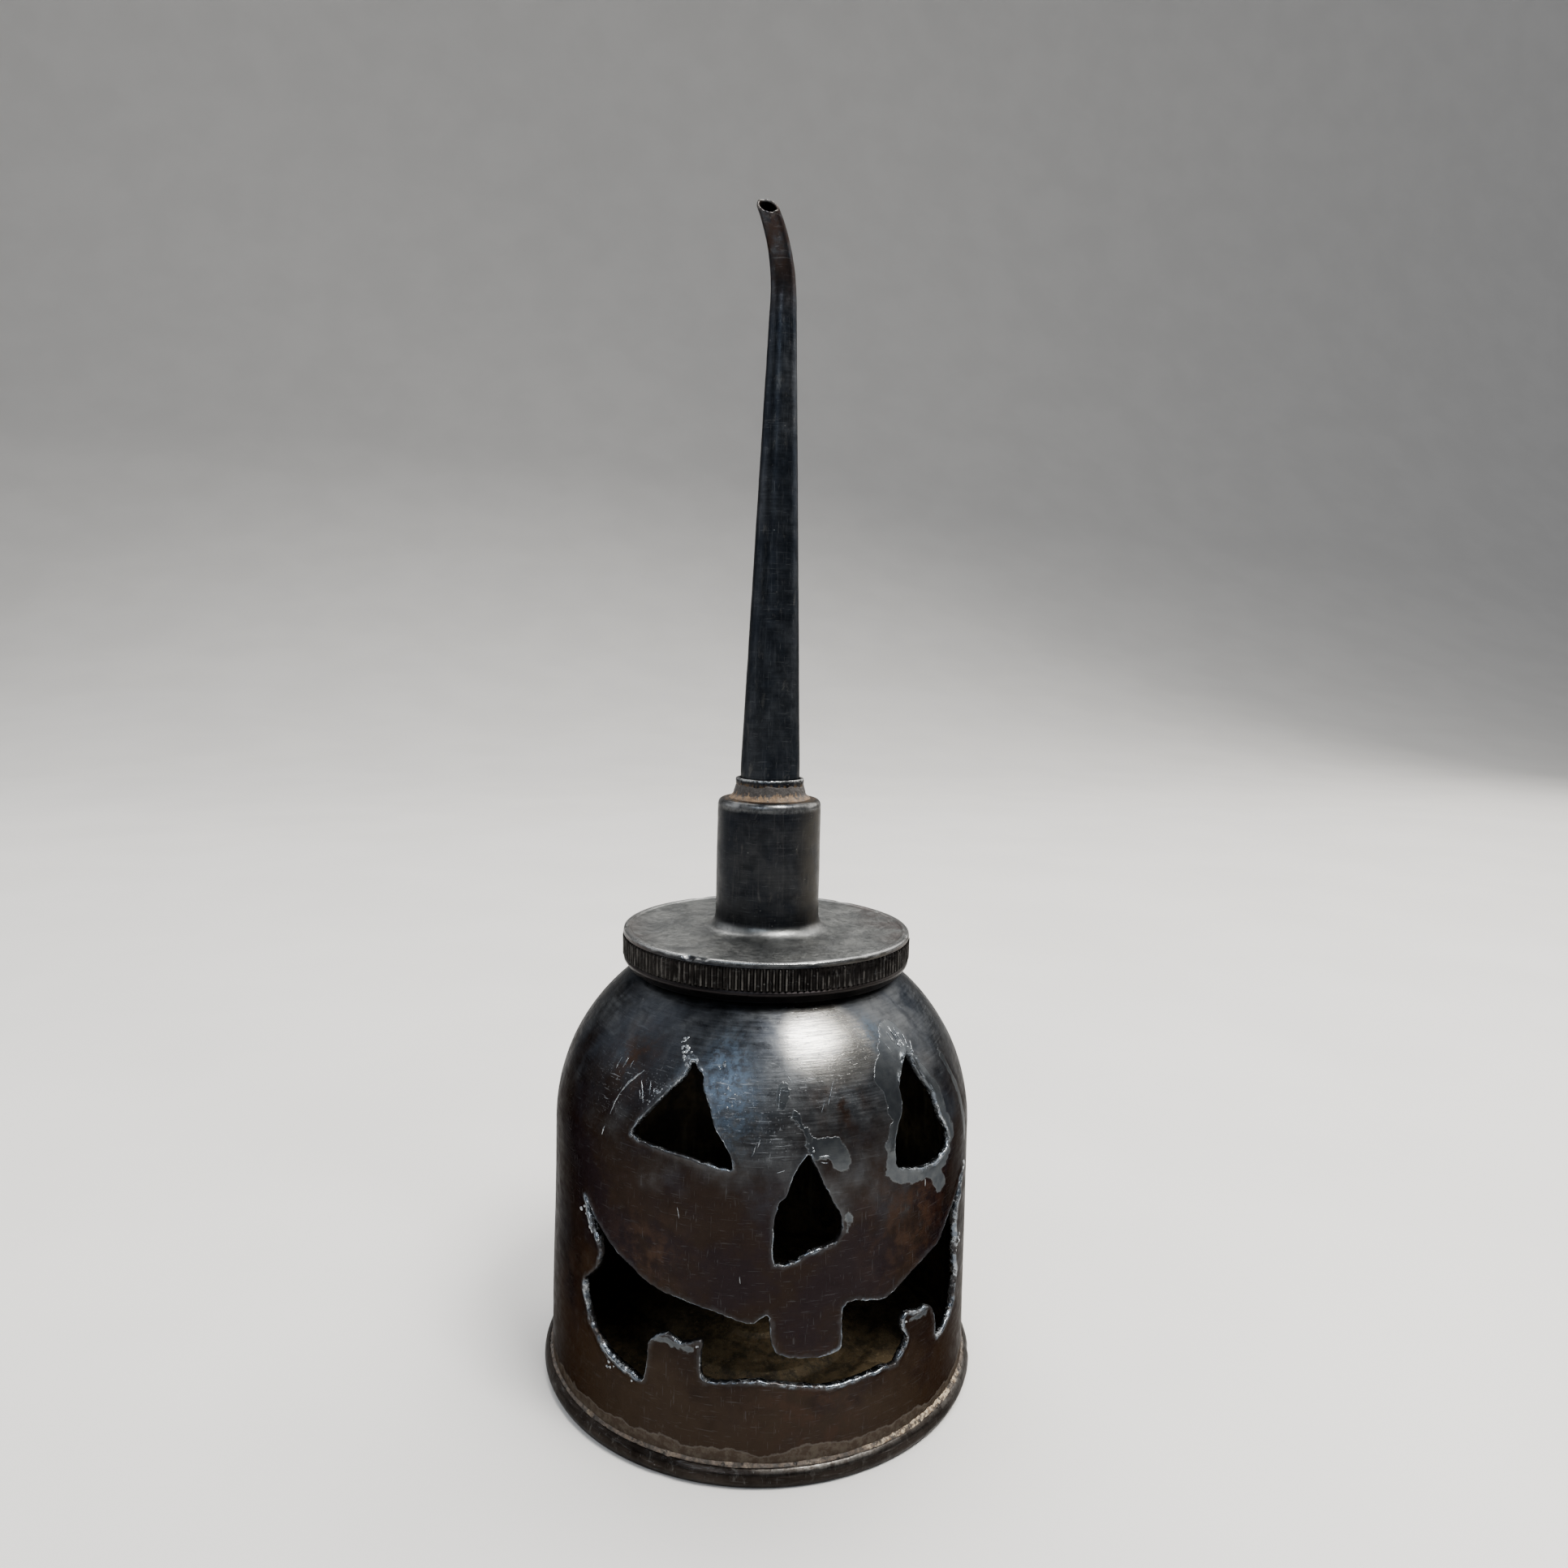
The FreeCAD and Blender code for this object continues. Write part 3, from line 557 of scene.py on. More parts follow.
def shell_values(flat_points, edge_gap, lip, inner):
    """Numbers that the shell's material reads at each point."""
    film = np.full(len(flat_points), 1e9)
    for line, spread in FILMS:
        film = np.minimum(film, distance_to_line(flat_points, flat(line)) - spread)
    return {
        "edge_gap": np.clip(edge_gap, -1, 12),
        "lip": lip,
        "film": np.clip(film, -3, 6),
        "blue": stain(flat_points, BLUE_STAINS),
        "russet": stain(flat_points, RUSSET_STAINS),
        "scuff": stain(flat_points, SCUFFS),
        "polish_and_highlight": stain(flat_points, POLISHED_AND_HIGHLIGHT),
        "inner": inner,
    }


def edge_weights(smooth, outlines, weights):
    """Distance of each shell point to the nearest cut, and how heavy the molten lip is there."""
    edge_points, _ = shell_frame(np.concatenate(outlines))
    tree = tree_of(edge_points)
    nearest = [tree.find(point) for point in smooth]
    edge_gap = np.array([hit[2] for hit in nearest])
    weight = np.concatenate(weights)[[hit[1] for hit in nearest]]
    return edge_gap, weight * (0.75 + 0.5 * soft_noise(smooth, 0.5, 4))


def cut_wall(loop, outer, inner, normals, bulge):
    """Rows of points across the wall's thickness along an open edge, swollen where the torch melted it."""
    here = outer[loop]
    there = inner[loop]
    along = np.roll(here, -1, axis=0) - np.roll(here, 1, axis=0)
    along /= np.linalg.norm(along, axis=1)[:, None]
    into = np.cross(along, normals[loop])
    for row in range(1, WALL_ROWS):
        depth = row / WALL_ROWS
        swell = np.sin(math.pi * depth) ** 0.7
        middle = here * (1 - depth) + there * depth + into * (bulge * swell)[:, None]
        ripple = 0.07 * soft_noise(middle, 0.9, 8) * (bulge > 0)
        yield depth, middle + into * ripple[:, None]


def make_shell(materials):
    """Worn steel shell with torn cut-outs, rounded molten edges and a real wall thickness."""
    torn = [torn_outline(corners, 11 + 3 * number) for number, corners in enumerate(CUTS)]
    outlines = [outline for outline, _ in torn]
    flat_points, faces = triangulate(outlines)
    smooth, normals = shell_frame(flat_points)
    edge_gap, weight = edge_weights(smooth, outlines, [weight for _, weight in torn])
    share = 1 - ease(edge_gap, 0.12, 0.55 + 1.3 * weight)
    lumps = 0.7 + 0.5 * soft_noise(smooth, 0.55, 5) + 0.15 * soft_noise(smooth, 1.5, 6)
    lift = share * (0.06 + 0.5 * weight * np.clip(lumps, 0.1, 1.5))
    hang = share * (0.05 + 0.35 * weight * np.clip(lumps, 0, 1.5))
    wobble = shell_wobble(flat_points, smooth)
    outer = smooth + normals * (wobble + lift)[:, None]
    inner = smooth + normals * (wobble - SHELL_THICK - hang)[:, None]
    count = len(flat_points)
    points = [outer, inner]
    all_faces = [tuple(face) for face in faces] + [tuple(face[::-1] + count) for face in faces]
    slots = [0] * len(faces) + [1] * len(faces)
    flats = [flat_points, flat_points]
    gaps = [edge_gap, edge_gap]
    lips = [share * weight, share * weight]
    sides = [np.zeros(count), np.ones(count)]
    total = 2 * count
    for loop in open_loops(faces):
        bulge = np.zeros(len(loop))
        if edge_gap[loop].max() < 0.05:
            bulge = 0.1 + 0.42 * weight[loop] * (0.6 + 0.6 * soft_noise(outer[loop], 0.9, 7))
        rows = [np.array(loop)]
        for depth, row in cut_wall(loop, outer, inner, normals, np.clip(bulge, 0, 0.6)):
            points.append(row)
            rows.append(np.arange(total, total + len(loop)))
            flats.append(flat_points[loop])
            gaps.append(np.full(len(loop), -depth))
            lips.append(weight[loop] * (1 - 0.5 * depth))
            sides.append(np.full(len(loop), depth * depth))
            total += len(loop)
        rows.append(np.array(loop) + count)
        for upper, lower in zip(rows, rows[1:]):
            quads = zip(np.roll(upper, -1), upper, lower, np.roll(lower, -1))
            all_faces.extend(quads)
            slots.extend([0] * len(loop))
    values = shell_values(*(np.concatenate(part) for part in (flats, gaps, lips, sides)))
    return add_piece(
        "can_shell", np.concatenate(points), all_faces, "can", materials,
        replaces=["can_body"], values=values, face_slots=slots,
    )


# ---------------------------------------------------------------- burrs and beads of metal on the shell

def ball_template():
    """Points and faces of a small evenly divided ball."""
    golden = (1 + math.sqrt(5)) / 2
    spots = []
    for a in (-1, 1):
        for b in (-golden, golden):
            spots += [(0, a, b), (a, b, 0), (b, 0, a)]
    spots = [Vector(spot).normalized() for spot in spots]
    reach = min((spots[0] - other).length for other in spots[1:]) * 1.05
    faces = []
    for a in range(12):
        for b in range(a + 1, 12):
            for c in range(b + 1, 12):
                one, two, three = spots[a], spots[b], spots[c]
                if max((one - two).length, (two - three).length, (one - three).length) > reach:
                    continue
                turned_out = (two - one).cross(three - one).dot(one) > 0
                faces.append((a, b, c) if turned_out else (a, c, b))
    middles = {}

    def middle(a, b):
        key = (min(a, b), max(a, b))
        if key not in middles:
            middles[key] = len(spots)
            spots.append(((spots[a] + spots[b]) / 2).normalized())
        return middles[key]

    split = []
    for a, b, c in faces:
        ab, bc, ca = middle(a, b), middle(b, c), middle(c, a)
        split += [(a, ab, ca), (b, bc, ab), (c, ca, bc), (ab, bc, ca)]
    return np.array([tuple(spot) for spot in spots]), np.array(split)


def make_dross(material):
    """Frozen beads of metal thrown out along the cuts, half sunk in the shell."""
    chance = random.Random(31)
    ball, ball_faces = ball_template()
    outlines = [flat(corners) for corners in CUTS]
    points = []
    faces = []
    for degrees, height, spread, count, largest in SPATTER:
        centre = flat([(degrees, height)])[0]
        for _ in range(count):
            spot = centre + np.array([chance.gauss(0, spread * 0.55), chance.gauss(0, spread * 0.55)])
            radius = largest * (0.25 + 0.6 * chance.random())
            long, wide, tall = chance.random(), chance.random(), chance.random()
            stretch = np.array([1 + 0.5 * long, 1 + 0.5 * wide, 0.45 + 0.2 * tall])
            if any(inside(spot[None], outline)[0] for outline in outlines):
                continue
            place, normal = on_shell(spot[None], 0.02)
            place, normal = Vector(place[0]), Vector(normal[0])
            lumpy = ball * (1 + 0.22 * soft_noise(ball + spot.sum(), 1.7, 9))[:, None] * stretch * radius
            spin = Matrix.Rotation(chance.random() * math.pi, 3, "Z")
            turn = normal.to_track_quat("Z", "Y").to_matrix() @ spin
            pile_on(points, faces, lumpy @ np.array(turn).T + np.array(place), ball_faces.tolist())
    return add_piece("cut_dross", np.concatenate(points), faces, "can", [material])


def ridge(line, width):
    """Thin tapered burr along a line on the shell: a low lens across, torn a little along."""
    corners = flat(line)
    dense = []
    for start, end in zip(corners, corners[1:]):
        pieces = max(3, math.ceil(np.linalg.norm(end - start) / 0.18))
        dense.extend(start + (end - start) * number / pieces for number in range(pieces))
    dense = np.array([*dense, corners[-1]])
    along = np.gradient(dense, axis=0)
    along /= np.linalg.norm(along, axis=1)[:, None]
    across = np.stack([along[:, 1], -along[:, 0]], axis=1)
    share = np.linspace(0, 1, len(dense))
    spread = with_zero(dense)
    taper = np.sin(math.pi * np.clip(share, 0.02, 0.98)) ** 0.6 * (0.75 + 0.5 * soft_noise(spread, 1.9, 12))
    wander = 0.12 * soft_noise(spread, 0.9, 13)
    rows = []
    for side, lift in ((-0.5, -0.12), (-0.28, 0.35), (0, 0.5), (0.28, 0.35), (0.5, -0.12)):
        flat_row = dense + across * (side * width * taper + wander)[:, None]
        rows.append(on_shell(flat_row, lift * width * 0.55 * taper)[0])
    points = np.concatenate(rows)
    count = len(dense)
    faces = []
    for row in range(5):
        upper, lower = row * count, ((row + 1) % 5) * count
        faces.extend((upper + n, upper + n + 1, lower + n + 1, lower + n) for n in range(count - 1))
    faces.append(tuple(row * count for row in range(5)))
    faces.append(tuple(row * count + count - 1 for row in reversed(range(5))))
    return points, faces


def make_marks(material):
    """Burrs, drag marks and short bright scores round the eyes and nose."""
    points = []
    faces = []
    for line, width in MARKS:
        pile_on(points, faces, *ridge(line, width))
    return add_piece("torch_marks", np.concatenate(points), faces, "can", [material])


# ---------------------------------------------------------------- foot

def make_foot_bead(material):
    """Rolled bead round the foot, a little uneven and knocked."""
    top = BEAD_HIGH.z
    outer = BEAD_HIGH.x - 0.07
    profile = rounded([
        (36.6, 0.02, 0.1), (outer - 0.7, 0.02, 0.9), (outer, 1.5, 1.3), (outer - 0.35, top - 0.9, 1.0),
        (38.75, top - 0.05, 0.25), (38.6, 2.45, 0.1), (39.1, 2.35, 0.1), (39.1, 0.75, 0.1),
        (36.6, 0.68, 0.15),
    ], 0.3)

    def shape(angle, radius, height):
        upper = ease(height, 0.2, 1.2) * ease(radius, 38.4, 38.7)
        bend = 0.06 * ring_noise(angle, radius, height, 0.07, 21)
        bend += 0.035 * ring_noise(angle, radius, height, 0.5, 22)
        width = BEAD_NICK_WIDTH / BEAD_HIGH.x
        nick = sum(depth * near(angle, degrees, width) for degrees, depth in BEAD_NICKS)
        radius = radius + upper * (np.minimum(bend, 0.06) - nick)
        return radius, height + upper * 0.04 * ring_noise(angle, radius, height, 0.3, 23)

    points, faces = turned(profile, 360, shape)
    angle = np.arctan2(points[:, 0], -points[:, 1])
    # worn steel on the bead's upper crest all round, and a painted highlight band at 8 and 55 degrees
    rubbed_and_lit = 0.14 + 0.35 * near(angle, 8, 0.35) + 0.3 * near(angle, 55, 0.3)
    wear_and_highlight = rubbed_and_lit * ease(points[:, 2], top - 1.9, top - 0.4)
    return add_piece(
        "foot_bead", points, faces, "can", [material],
        replaces=["bottom_rim"], values={"wear_and_highlight": wear_and_highlight},
    )


def make_seam_crust(material):
    """Pitted crust of old solder and rust in the groove above the bead, heaviest at the front right."""
    profile = rounded([
        (38.2, 2.6, 0.1), (38.8, 2.6, 0.15), (38.95, 3.3, 0.25), (38.7, 3.75, 0.3), (38.2, 4.2, 0.2),
    ], 0.16)

    def load(angle):
        patchy = 0.14 + 0.45 * ring_noise(angle, 38, 0, 0.16, 33)
        heaviest = near(angle, 38, 0.36) + 0.5 * near(angle, 160, 0.5)
        return np.clip(patchy + 0.85 * heaviest, 0.08, 1.3)

    def shape(angle, radius, height):
        lumps = ring_noise(angle, radius, height, 0.9, 31) + 0.6 * ring_noise(angle, radius, height, 2.4, 32)
        free = ease(radius + height - 41.2, 0.0, 1.0)
        heavy = load(angle)
        radius = radius + free * np.clip(lumps * 0.2 * heavy, -0.25, 0.25)
        sunk = 0.4 * np.clip(1 - heavy, 0, 1)
        height = height + free * (np.clip(lumps, -1, 1) * 0.26 * heavy - sunk)
        return radius, np.clip(height, 2.5, 4.6)

    points, faces = turned(profile, 560, shape)
    heavy = load(np.arctan2(points[:, 0], -points[:, 1]))
    return add_piece(
        "seam_crust", points, faces, "can", [material],
        replaces=["seam_solder"], values={"heavy": heavy},
    )


def make_bottom_disc(material):
    """Corrugated spring disc, taken back off the can's body and left free of every rigid body."""
    low = DISC_LOW.z
    thick = 0.45
    under = [
        (39.05, 0, 0), (35.8, 0, 1.5), (33.4, 1.6, 1.2), (30, 1.6, 1.2), (28.2, 2.5, 1), (23, 2.5, 1),
        (21.4, 1.9, 0.8), (18, 1.9, 0.8), (16.2, 2.9, 0.8), (12, 3.2, 1), (5, 3.2, 0),
    ]
    upper = [(radius, low + lift + thick, rounding) for radius, lift, rounding in under]
    lower = [(radius, low + lift, rounding) for radius, lift, rounding in reversed(under)]
    profile = rounded(lower + upper, 0.5)

    def shape(angle, radius, height):
        free = 1 - ease(radius, 33.5, 35.5)
        return radius, height + free * 0.05 * ring_noise(angle, radius, 0, 0.12, 41)

    points, faces = turned(profile, 180, shape)
    piece = add_piece(
        "bottom_disc", points, faces, "can", [material], replaces=["bottom_diaphragm"],
    )
    piece.parent = None
    del piece["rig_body"]
    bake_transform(piece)
    return piece


# ---------------------------------------------------------------- cap

CAP_ROUND = 26.0
KNURL_RIBS = 160


def make_cap_shell(material):
    """Pressed cap: curled skirt, worn flange, tall hub, rounded shoulder and thin collar."""
    rim = CAP_HIGH.x - 0.15
    foot = CAP_LOW.z
    top = CAP_HIGH.z
    profile = rounded([
        (24.1, foot, 0.15), (24.5, foot, 0.1), (25.0, foot + 0.35, 0.5), (rim - 0.1, foot + 1.6, 0.9),
        (rim - 0.1, 75.95, 0.2), (25.62, 76.3, 0.1), (25.62, 80.0, 0.1), (rim, 80.15, 0.2),
        (rim - 0.05, 81.1, 0.95), (24.9, 81.2, 0.3),
        (24.55, 81.02, 0.25), (22, 81.06, 1), (9.4, 81.06, 2.6), (9.36, 95, 1), (9.3, 104.6, 2.4),
        (6.6, 104.62, 0.35), (6.1, 104.9, 0.2), (6.12, top - 0.35, 0.2), (6.02, top - 0.02, 0.12),
        (5.5, top - 0.05, 0.08), (5.5, 103.6, 0.1),
        (8.4, 103.4, 1.2), (8.4, 80.2, 0.2), (25, 80.2, 0.2), (25, foot + 1.5, 0.8), (24.1, foot + 0.85, 0.3),
    ], 0.42)

    def shape(angle, radius, height):
        top_face = ease(radius, 10.5, 12.5) * ease(height, 80.6, 80.95)
        height = height + top_face * (0.05 * ring_noise(angle, radius, height, 0.11, 51) - 0.05)
        ring = ridge_at(radius, 24.55, 0.3) * top_face
        height = height - 0.07 * ring * (0.8 + 0.4 * ring_noise(angle, radius, height, 0.3, 52))
        at_edge = ease(radius, 24.6, 25.6) * ease(height, 80.2, 80.9)
        for degrees, depth, width in FLANGE_DENTS:
            knock = at_edge * depth * near(angle, degrees, width / CAP_ROUND)
            height = height - knock
            radius = radius - 0.8 * knock
        hub = ease(height, 83, 86) * (1 - ease(height, 101, 103)) * ease(radius, 9, 9.2)
        radius = radius + hub * 0.05 * ring_noise(angle, radius, height, 0.16, 53)
        torn = ease(height, top - 1.3, top - 0.1) * ease(radius, 5.9, 6.05)
        ragged = ring_noise(angle, radius, 0, 0.9, 54) + 0.6 * ring_noise(angle, radius, 0, 2.3, 55)
        height = np.minimum(height + torn * (0.3 * ragged - 0.25), top)
        radius = radius + torn * 0.12 * (ragged - 0.2)
        skirt = ease(radius, 25.2, 25.6) * (1 - ease(height, 75.4, 76))
        radius = radius + skirt * np.minimum(0.05 * ring_noise(angle, radius, height, 0.3, 56), 0.03)
        return radius, height

    points, faces = turned(profile, 288, shape)
    radius = np.hypot(points[:, 0], points[:, 1])
    height = points[:, 2]
    # worn steel on the flange edge, hub shoulder and collar top, partly a painted highlight; the ring on the
    # hub's foot fillet is a painted highlight
    wear_and_highlight = ease(radius, 24.9, 25.5) * ease(height, 80.3, 80.95)
    wear_and_highlight += 0.55 * ease(height, 102.2, 103.6) * (1 - ease(height, 104.3, 104.6)) * ease(radius, 7, 8)
    wear_and_highlight += 0.6 * ridge_at(height, 81.6, 0.5) * ridge_at(radius, 10.6, 0.9)
    wear_and_highlight += 0.9 * ease(height, top - 0.55, top - 0.2) * ease(radius, 5.7, 5.95)
    return add_piece(
        "cap_shell", points, faces, "cap", [material],
        replaces=["spout_cap"], values={"wear_and_highlight": np.clip(wear_and_highlight, 0, 1)},
    )


def make_cap_knurl(material):
    """Fine upright ribs round the skirt, battered at the front right."""
    crest = CAP_HIGH.x
    root = crest - 0.46
    profile = rounded([
        (root - 0.25, 76.1, 0), (root, 76.14, 0.05), (crest, 76.5, 0.15), (crest, 79.75, 0.15),
        (root + 0.1, 80.12, 0.05), (root - 0.25, 80.12, 0),
    ], 0.28)

    def shape(angle, radius, height):
        wave = np.cos(angle * KNURL_RIBS + 0.5 * ring_noise(angle, CAP_ROUND, 0, 0.25, 61))
        rib = np.clip((wave + 0.55) / 1.4, 0, 1) ** 1.3
        uneven = 0.85 + 0.3 * ring_noise(angle, CAP_ROUND, height * 0.4, 0.9, 62)
        battered = near(angle, 22, 0.42) * ease(height, 78.4, 79.6)
        dull = 1 - 0.75 * battered * ease(ring_noise(angle, CAP_ROUND, height, 0.8, 63), -0.5, 0.2)
        out = np.clip((radius - root) / (crest - root), 0, 1)
        lifted = root + (crest - root) * out * np.clip(rib * uneven * dull, 0, 1)
        return np.where(radius > root, np.minimum(lifted, crest), radius), height

    points, faces = turned(profile, KNURL_RIBS * 8, shape)
    wear_and_highlight = 0.8 * ease(np.hypot(points[:, 0], points[:, 1]), root + 0.22, crest - 0.02)
    return add_piece("cap_knurl", points, faces, "cap", [material], values={"wear_and_highlight": wear_and_highlight})


def make_solder_run(material):
    """Concave run of solder and dirt round the collar's foot, with drips."""
    profile = rounded([
        (6.0, 104.45, 0.05), (7.5, 104.45, 0.15), (7.25, 104.75, 0.3), (6.55, 105.4, 0.9), (6.3, 106.6, 0.5),
        (6.16, 107.2, 0.1), (6.0, 107.2, 0.05),
    ], 0.14)

    def shape(angle, radius, height):
        free = ease(radius, 6.05, 6.2)
        drip = ring_noise(angle, 6, height * 0.15, 0.9, 71)
        grain = ring_noise(angle, radius, height, 2.6, 72)
        radius = radius + free * (0.1 * drip + 0.07 * grain)
        reach = ease(height, 105.6, 107)
        return radius, height + reach * 0.4 * (drip - 0.35)

    points, faces = turned(profile, 260, shape)
    return add_piece("solder_run", points, faces, "cap", [material], replaces=["spout_solder"])


# ---------------------------------------------------------------- spout

CONE_START = 110.0
SPOUT_RADIUS = 5.35
SPOUT_TAPER = 0.0377
SPOUT_WALL = 0.5
BEND_START = 190.8
BEND_ROUND = 15.2
BEND_ANGLE = math.radians(59.3)
BEND_HEADING = math.radians(-37.5)
LEAN = math.radians(0.35)
LEAN_HEADING = math.radians(78)
SPOUT_SIDES = 96
TIP_REACH = 0.8
TIP_SLANT = 0.52
BEND_NEAR = 176.0
# (how far back from the tip, inset) round the worn lip
LIP_SECTION = ((0.33, 0.0), (0.14, -0.03), (0.02, -0.12), (0.0, -0.25), (0.06, -0.4), (0.3, -0.5))


def level(heading):
    """Level unit vector a turn round from the front."""
    return Vector((math.sin(heading), -math.cos(heading), 0))


def spout_station(travel):
    """Centre and frame (side, front, along) of the spout's centre line after a travel up it."""
    swing = min(max((travel - BEND_START) / BEND_ROUND, 0), BEND_ANGLE)
    past = travel - BEND_START - BEND_ROUND * swing
    forward = level(BEND_HEADING)
    up = Vector((0, 0, 1))
    centre = forward * (BEND_ROUND * (1 - math.cos(swing))) + up * (BEND_START + BEND_ROUND * math.sin(swing))
    along = forward * math.sin(swing) + up * math.cos(swing)
    centre += along * past
    side = up.cross(forward).normalized()
    front = side.cross(along).normalized()
    turn = Matrix.Rotation(LEAN if travel > CONE_START else 0, 3, up.cross(level(LEAN_HEADING)))
    pivot = Vector((0, 0, CONE_START))
    return turn @ (centre - pivot) + pivot, turn @ side, turn @ front, turn @ along


def spout_ring(travel, radius, squash, angles):
    """One ring of points across the spout."""
    centre, side, front, _ = spout_station(travel)
    across = np.outer(np.cos(angles) * radius, side) + np.outer(np.sin(angles) * radius * squash, front)
    return across + np.array(centre)


def spout_section(travel, inset, tip, angles):
    """One finished ring of the spout: tapered, a little uneven, and worn and cut back near its tip."""
    def towards_tip(first, last=0.0):
        return float(ease(np.array(travel), tip - first, tip - last))

    radius = SPOUT_RADIUS - SPOUT_TAPER * max(travel - CONE_START, 0)
    ring = spout_ring(travel, radius, 1 - 0.1 * towards_tip(7), angles)
    centre, _, _, along = spout_station(travel)
    out = ring - np.array(centre)
    out /= np.linalg.norm(out, axis=1)[:, None]
    rough = 0.03 * soft_noise(ring, 0.25, 81) + 0.02 * soft_noise(ring, 0.9, 82)
    worn = towards_tip(1.2) * (0.09 * soft_noise(ring, 1.1, 83) - 0.03)
    ragged = towards_tip(0.6) * (0.28 * soft_noise(out * 3, 0.9, 84) - 0.12)
    cut_back = towards_tip(6) * TIP_SLANT * radius * (np.cos(angles) + 1)
    moved = ring + out * (inset + rough + worn - 0.02)[:, None] + np.outer(ragged - cut_back, along)
    return moved, np.full(len(angles), 0.4 * towards_tip(0.5, 0.1))


def make_spout(material):
    """Tapered tin spout with a bent end, cut off on a slant, and a worn open mouth."""
    tip = BEND_START + BEND_ROUND * BEND_ANGLE + TIP_REACH
    foot = SPOUT_LOW.z + 0.6
    outside = [*np.arange(foot, BEND_NEAR, 1.0), *np.arange(BEND_NEAR, tip - 0.35, 0.4)]
    stations = [(travel, 0.0) for travel in outside]
    stations += [(tip - back, inset) for back, inset in LIP_SECTION]
    stations += [(travel, -SPOUT_WALL) for travel in reversed(outside)]
    angles = np.linspace(0, 2 * math.pi, SPOUT_SIDES, endpoint=False)
    sections = [spout_section(travel, inset, tip, angles) for travel, inset in stations]
    rings, wear_and_highlight = (np.concatenate(part) for part in zip(*sections))
    return add_piece(
        "spout", rings, ring_faces(len(sections), SPOUT_SIDES, flip=True), "cap", [material],
        replaces=["spout_tube"], values={"wear_and_highlight": wear_and_highlight},
    )


# ---------------------------------------------------------------- materials

